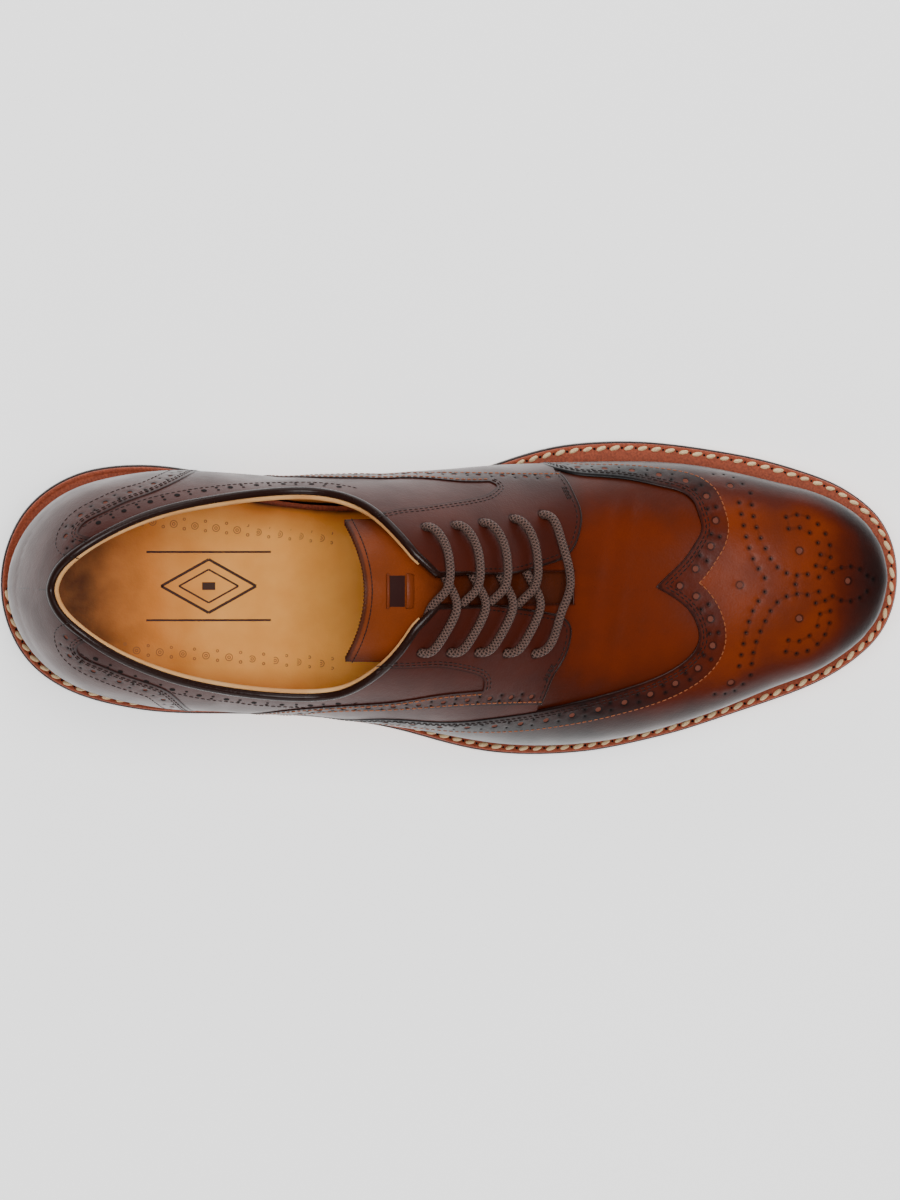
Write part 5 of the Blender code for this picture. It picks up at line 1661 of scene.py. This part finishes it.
# painted shade: darker towards the upper's wall, at the heel and under the vamp; the hidden side wall
# is darkest
near = np.concatenate([np.full(len(foot), t) for t in (0.95, 0.6, 0.35, 0.1)])
ends = np.concatenate([loop[:, 0] for loop in loops]) / SHOE_LENGTH
insole_painted_shade = near + 0.85 * (1 - step(ends, 0.05, 0.27)) + 0.5 * step(ends, 0.40, 0.60)
low = raised(inset(foot, 0.0026), under(WELT_BASE))
count = len(foot)
stacked("insole_sock", [low] + layers, INSOLE_CALF, ("insole",),
        values={"tone": np.concatenate([np.full(count, 1.0), insole_painted_shade]),
                "rim": np.full(5 * count, 9.0)})


def on_insole(x, y, lift=0.06 * MM):
    """A point on the insole from millimetres ahead of the heel's back and sideways."""
    x = np.asarray(x, float) * MM
    height = sole_underside(x) + INSOLE_RISE - 1.2 * MM + lift
    return np.stack([x - ORIGIN_X, np.asarray(y, float) * MM, height], -1)


for name, start, stop in (("medial", (44.0, 21.8), (108.0, 15.6)),
                          ("lateral", (38.0, -21.6), (108.0, -26.8))):
    count = 10
    share = np.linspace(0, 1, count)
    x, y = start[0] + share * (stop[0] - start[0]), start[1] + share * (stop[1] - start[1])
    forward, upright = np.tile([1.0, 0, 0], (count, 1)), np.tile([0, 0, 1.0], (count, 1))
    for ring_name, radius, inner in (("outer", 1.3, 1.0), ("inner", 0.6, 0.3)):
        dot = disc("dot_%s_%s" % (name, ring_name), radius * MM, inner * MM, 14)
        repeat("insole_dots_%s_%s" % (name, ring_name), [(on_insole(x, y), forward, upright)],
               dot, DOT_BROWN, 29)
    gap = (x[1] - x[0]) / 2
    pairs = [(on_insole(x + gap, y + off), forward, upright) for off in (1.6, -1.6)]
    repeat("insole_specks_" + name, pairs, disc("speck_" + name, 0.6 * MM, 0.25 * MM, 10), DOT_BROWN,
           31)


def printed(name, bars):
    """Printed bars on the insole: (x0, y0, x1, y1, width) in mm."""
    points, faces = [], []
    for x0, y0, x1, y1, width in bars:
        for k in range(8):
            a, b = k / 8, (k + 1) / 8
            ax, ay = x0 + (x1 - x0) * a, y0 + (y1 - y0) * a
            bx, by = x0 + (x1 - x0) * b, y0 + (y1 - y0) * b
            length = math.hypot(x1 - x0, y1 - y0)
            nx, ny = -(y1 - y0) / length * width / 2, (x1 - x0) / length * width / 2
            first = len(points)
            points += list(on_insole([ax + nx, ax - nx, bx - nx, bx + nx],
                                     [ay + ny, ay - ny, by - ny, by + ny]))
            faces.append((first, first + 1, first + 2, first + 3))
    return show(name, points, faces, PRINT_BROWN)


MARK_X, MARK_Y = 70.0, -0.5
bars = []
for tall, wide, width in ((9.0, 16.0, 0.9), (5.6, 10.0, 0.6)):
    corners = [(MARK_X - wide, MARK_Y), (MARK_X, MARK_Y + tall),
               (MARK_X + wide, MARK_Y), (MARK_X, MARK_Y - tall)]
    bars += [(*corners[k], *corners[(k + 1) % 4], width) for k in range(4)]
bars += [(MARK_X - 21, MARK_Y + s * 11.5, MARK_X + 21, MARK_Y + s * 11.5, 0.7) for s in (1, -1)]
bars += [(MARK_X - 2.2, MARK_Y, MARK_X + 2.2, MARK_Y, 2.6)]
printed("insole_mark", bars)

# %% [markdown]
# ## Laces
# A round waxed lace comes up through each hole, leans towards the toe, crosses the throat and
# goes down under the opposite facing. The front pair of holes has one straight bar.

# %% Laces: along (share of a step), hole (share of its place), half throats, lift in mm
UPPER_STRAND = (
    (-0.02, 1.02, 0.0, -0.9), (0.00, 1.00, 0.0, 1.3), (0.10, 0.95, 0.0, 2.9),
    (0.45, 0.72, 0.0, 3.8), (0.60, 0.36, 0.0, 3.9), (0.60, 0.0, 0.60, 3.6), (0.50, 0.0, 0.0, 3.0),
    (0.34, 0.0, -0.45, 1.6), (0.20, 0.0, -1.00, -0.4), (0.10, 0.0, -1.7, -1.4),
)
LOWER_STRAND = (
    (-0.04, 1.02, 0.0, -0.9), (0.00, 1.00, 0.0, 1.3), (0.12, 0.97, 0.0, 2.9),
    (0.50, 0.75, 0.0, 3.9), (0.86, 0.42, 0.0, 4.0), (0.98, 0.0, -0.95, 3.6),
    (1.00, 0.0, -0.35, 2.2), (0.93, 0.0, 0.15, 0.9), (0.84, 0.0, 0.60, 0.0), (0.72, 0.0, 1.4, -1.3),
)
BAR = (
    (0, 0.0, 1.02, -0.9), (0, 0.0, 1.0, 1.3), (0, 0.12, 0.95, 3.0), (0, 0.42, 0.68, 3.8),
    (0, 0.66, 0.32, 4.0), (0, 0.72, 0.0, 4.0), (1, 0.72, 0.36, 4.0), (1, 0.52, 0.68, 3.8),
    (1, 0.14, 0.95, 3.0), (1, 0.0, 1.0, 1.3), (1, -0.02, 1.02, -0.9),
)
LACE_RADIUS = 1.45 * MM


def lace(name, rows, node):
    """A lace through (length share, metres sideways, lift in mm) rows."""
    rows = np.array(rows)
    u = u_at(rows[:, 0])
    g = girth_over(u, rows[:, 1])
    normal = outward(u, g)[0]
    places = surface(u, g) + rows[:, 2:] * MM * normal
    run = run_of(places)
    at = np.linspace(0, run[-1], 70)
    path = np.stack([smooth_curve(run, places[:, k])(at) for k in range(3)], 1)
    up = np.stack([np.interp(at, run, normal[:, k]) for k in range(3)], 1)
    return swept(name, path, up, oval(LACE_RADIUS, LACE_RADIUS, 18), LACE_CORD, node)


# the mean step from hole to hole, a share of the length
STRAND_STEP = 0.033
half_gap = THROAT_WIDTH / 2
for k in range(4):
    crossing = ("lace_crossing_%d" % (k + 1),)
    for label, hole, rows, node in (("over", HOLES_MEDIAL[k], UPPER_STRAND, crossing),
                                    ("under", HOLES_LATERAL[k], LOWER_STRAND, ())):
        lace("lace_%d_%s" % (k + 1, label),
             [(hole[0] + a * STRAND_STEP, h * hole[1] * BALL_WIDTH + s * half_gap, lift)
              for a, h, s, lift in rows], node)
ends = (HOLES_MEDIAL[4], HOLES_LATERAL[4])
lace("lace_5_bar", [(ends[int(e)][0] + a * STRAND_STEP, h * ends[int(e)][1] * BALL_WIDTH, lift)
                    for e, a, h, lift in BAR], ("lace_bar_5",))

# %% [markdown]
# ## Floor and light
# The shoe stands on a plain pale floor under wide soft lights. The floor glows a little, as a
# lit white sweep does, which keeps shadows soft and puts a pale sheen on the steep sides.

# %% Stage
def lamp(name, place, size, power, aim=(0.11, 0.0, 0.05)):
    """A square soft light aimed at the shoe."""
    data = bpy.data.lights.new(name, "AREA")
    data.energy, data.size = power, size
    holder = bpy.data.objects.new(name, data)
    holder.location = place
    holder.rotation_euler = (Vector(aim) - Vector(place)).to_track_quat("-Z", "Y").to_euler()
    bpy.context.scene.collection.objects.link(holder)


floor_mesh = bpy.data.meshes.new("floor")
floor_mesh.from_pydata([(-4, -4, 0), (4, -4, 0), (4, 4, 0), (-4, 4, 0)], [], [(0, 1, 2, 3)])
white = plain("white_studio_floor", "#FBFBFB", 0.9)
white.node_tree.nodes["Principled BSDF"].inputs["Emission Color"].default_value = (1.0, 1.0, 1.0, 1.0)
white.node_tree.nodes["Principled BSDF"].inputs["Emission Strength"].default_value = 1.0
floor_mesh.materials.append(white)
floor = bpy.data.objects.new("floor", floor_mesh)
bpy.context.scene.collection.objects.link(floor)
floor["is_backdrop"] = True
world = bpy.data.worlds.new("studio")
world.use_nodes = True
world.node_tree.nodes["Background"].inputs["Color"].default_value = (1.0, 1.0, 1.0, 1.0)
world.node_tree.nodes["Background"].inputs["Strength"].default_value = 0.22
bpy.context.scene.world = world
lamp("softbox_over", (0.12, 0.10, 1.25), 0.7, 14.0)
lamp("softbox_medial", (0.15, 1.1, 0.55), 0.7, 4.0)
lamp("softbox_lateral", (0.05, -1.1, 0.6), 0.7, 3.0)

print("lights: 3")

# %% [markdown]
# ## Camera
# The photo was taken from far off with a long lens, nearly straight down. The shoe's length in
# pixels gives the scale, and the small tilts show a little more of the heel and the inner side.

# %% Camera
PIXELS_PER_METRE = 2940.0
WIDTH, HEIGHT = 900, 1200
HEEL_PIXEL, MIDDLE_PIXEL = 1.5, 583
DISTANCE, TILT_ALONG, TILT_ACROSS = 2.3, 3.6, 1.9
target = Vector(((WIDTH / 2 - HEEL_PIXEL) / PIXELS_PER_METRE - ORIGIN_X,
                 (MIDDLE_PIXEL - HEIGHT / 2) / PIXELS_PER_METRE, 0.012))
tilt = Vector((-math.tan(math.radians(TILT_ALONG)), math.tan(math.radians(TILT_ACROSS)), 1.0))
eye = target + DISTANCE * tilt
look = (target - eye).normalized()
right = (Vector((1, 0, 0)) - look * look.x).normalized()
upward = right.cross(look)
camera_data = bpy.data.cameras.new("camera")
camera_data.sensor_width = 36.0
camera_data.lens = PIXELS_PER_METRE * (target - eye).length * camera_data.sensor_width / HEIGHT
camera_data.clip_end = 20.0
camera = bpy.data.objects.new("camera", camera_data)
camera.matrix_world = Matrix((right, upward, -look)).transposed().to_4x4()
camera.location = eye
bpy.context.scene.collection.objects.link(camera)
bpy.context.scene.camera = camera
print("lens: %.1f mm" % camera_data.lens)

low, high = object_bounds()
print("model from", low, "to", high)
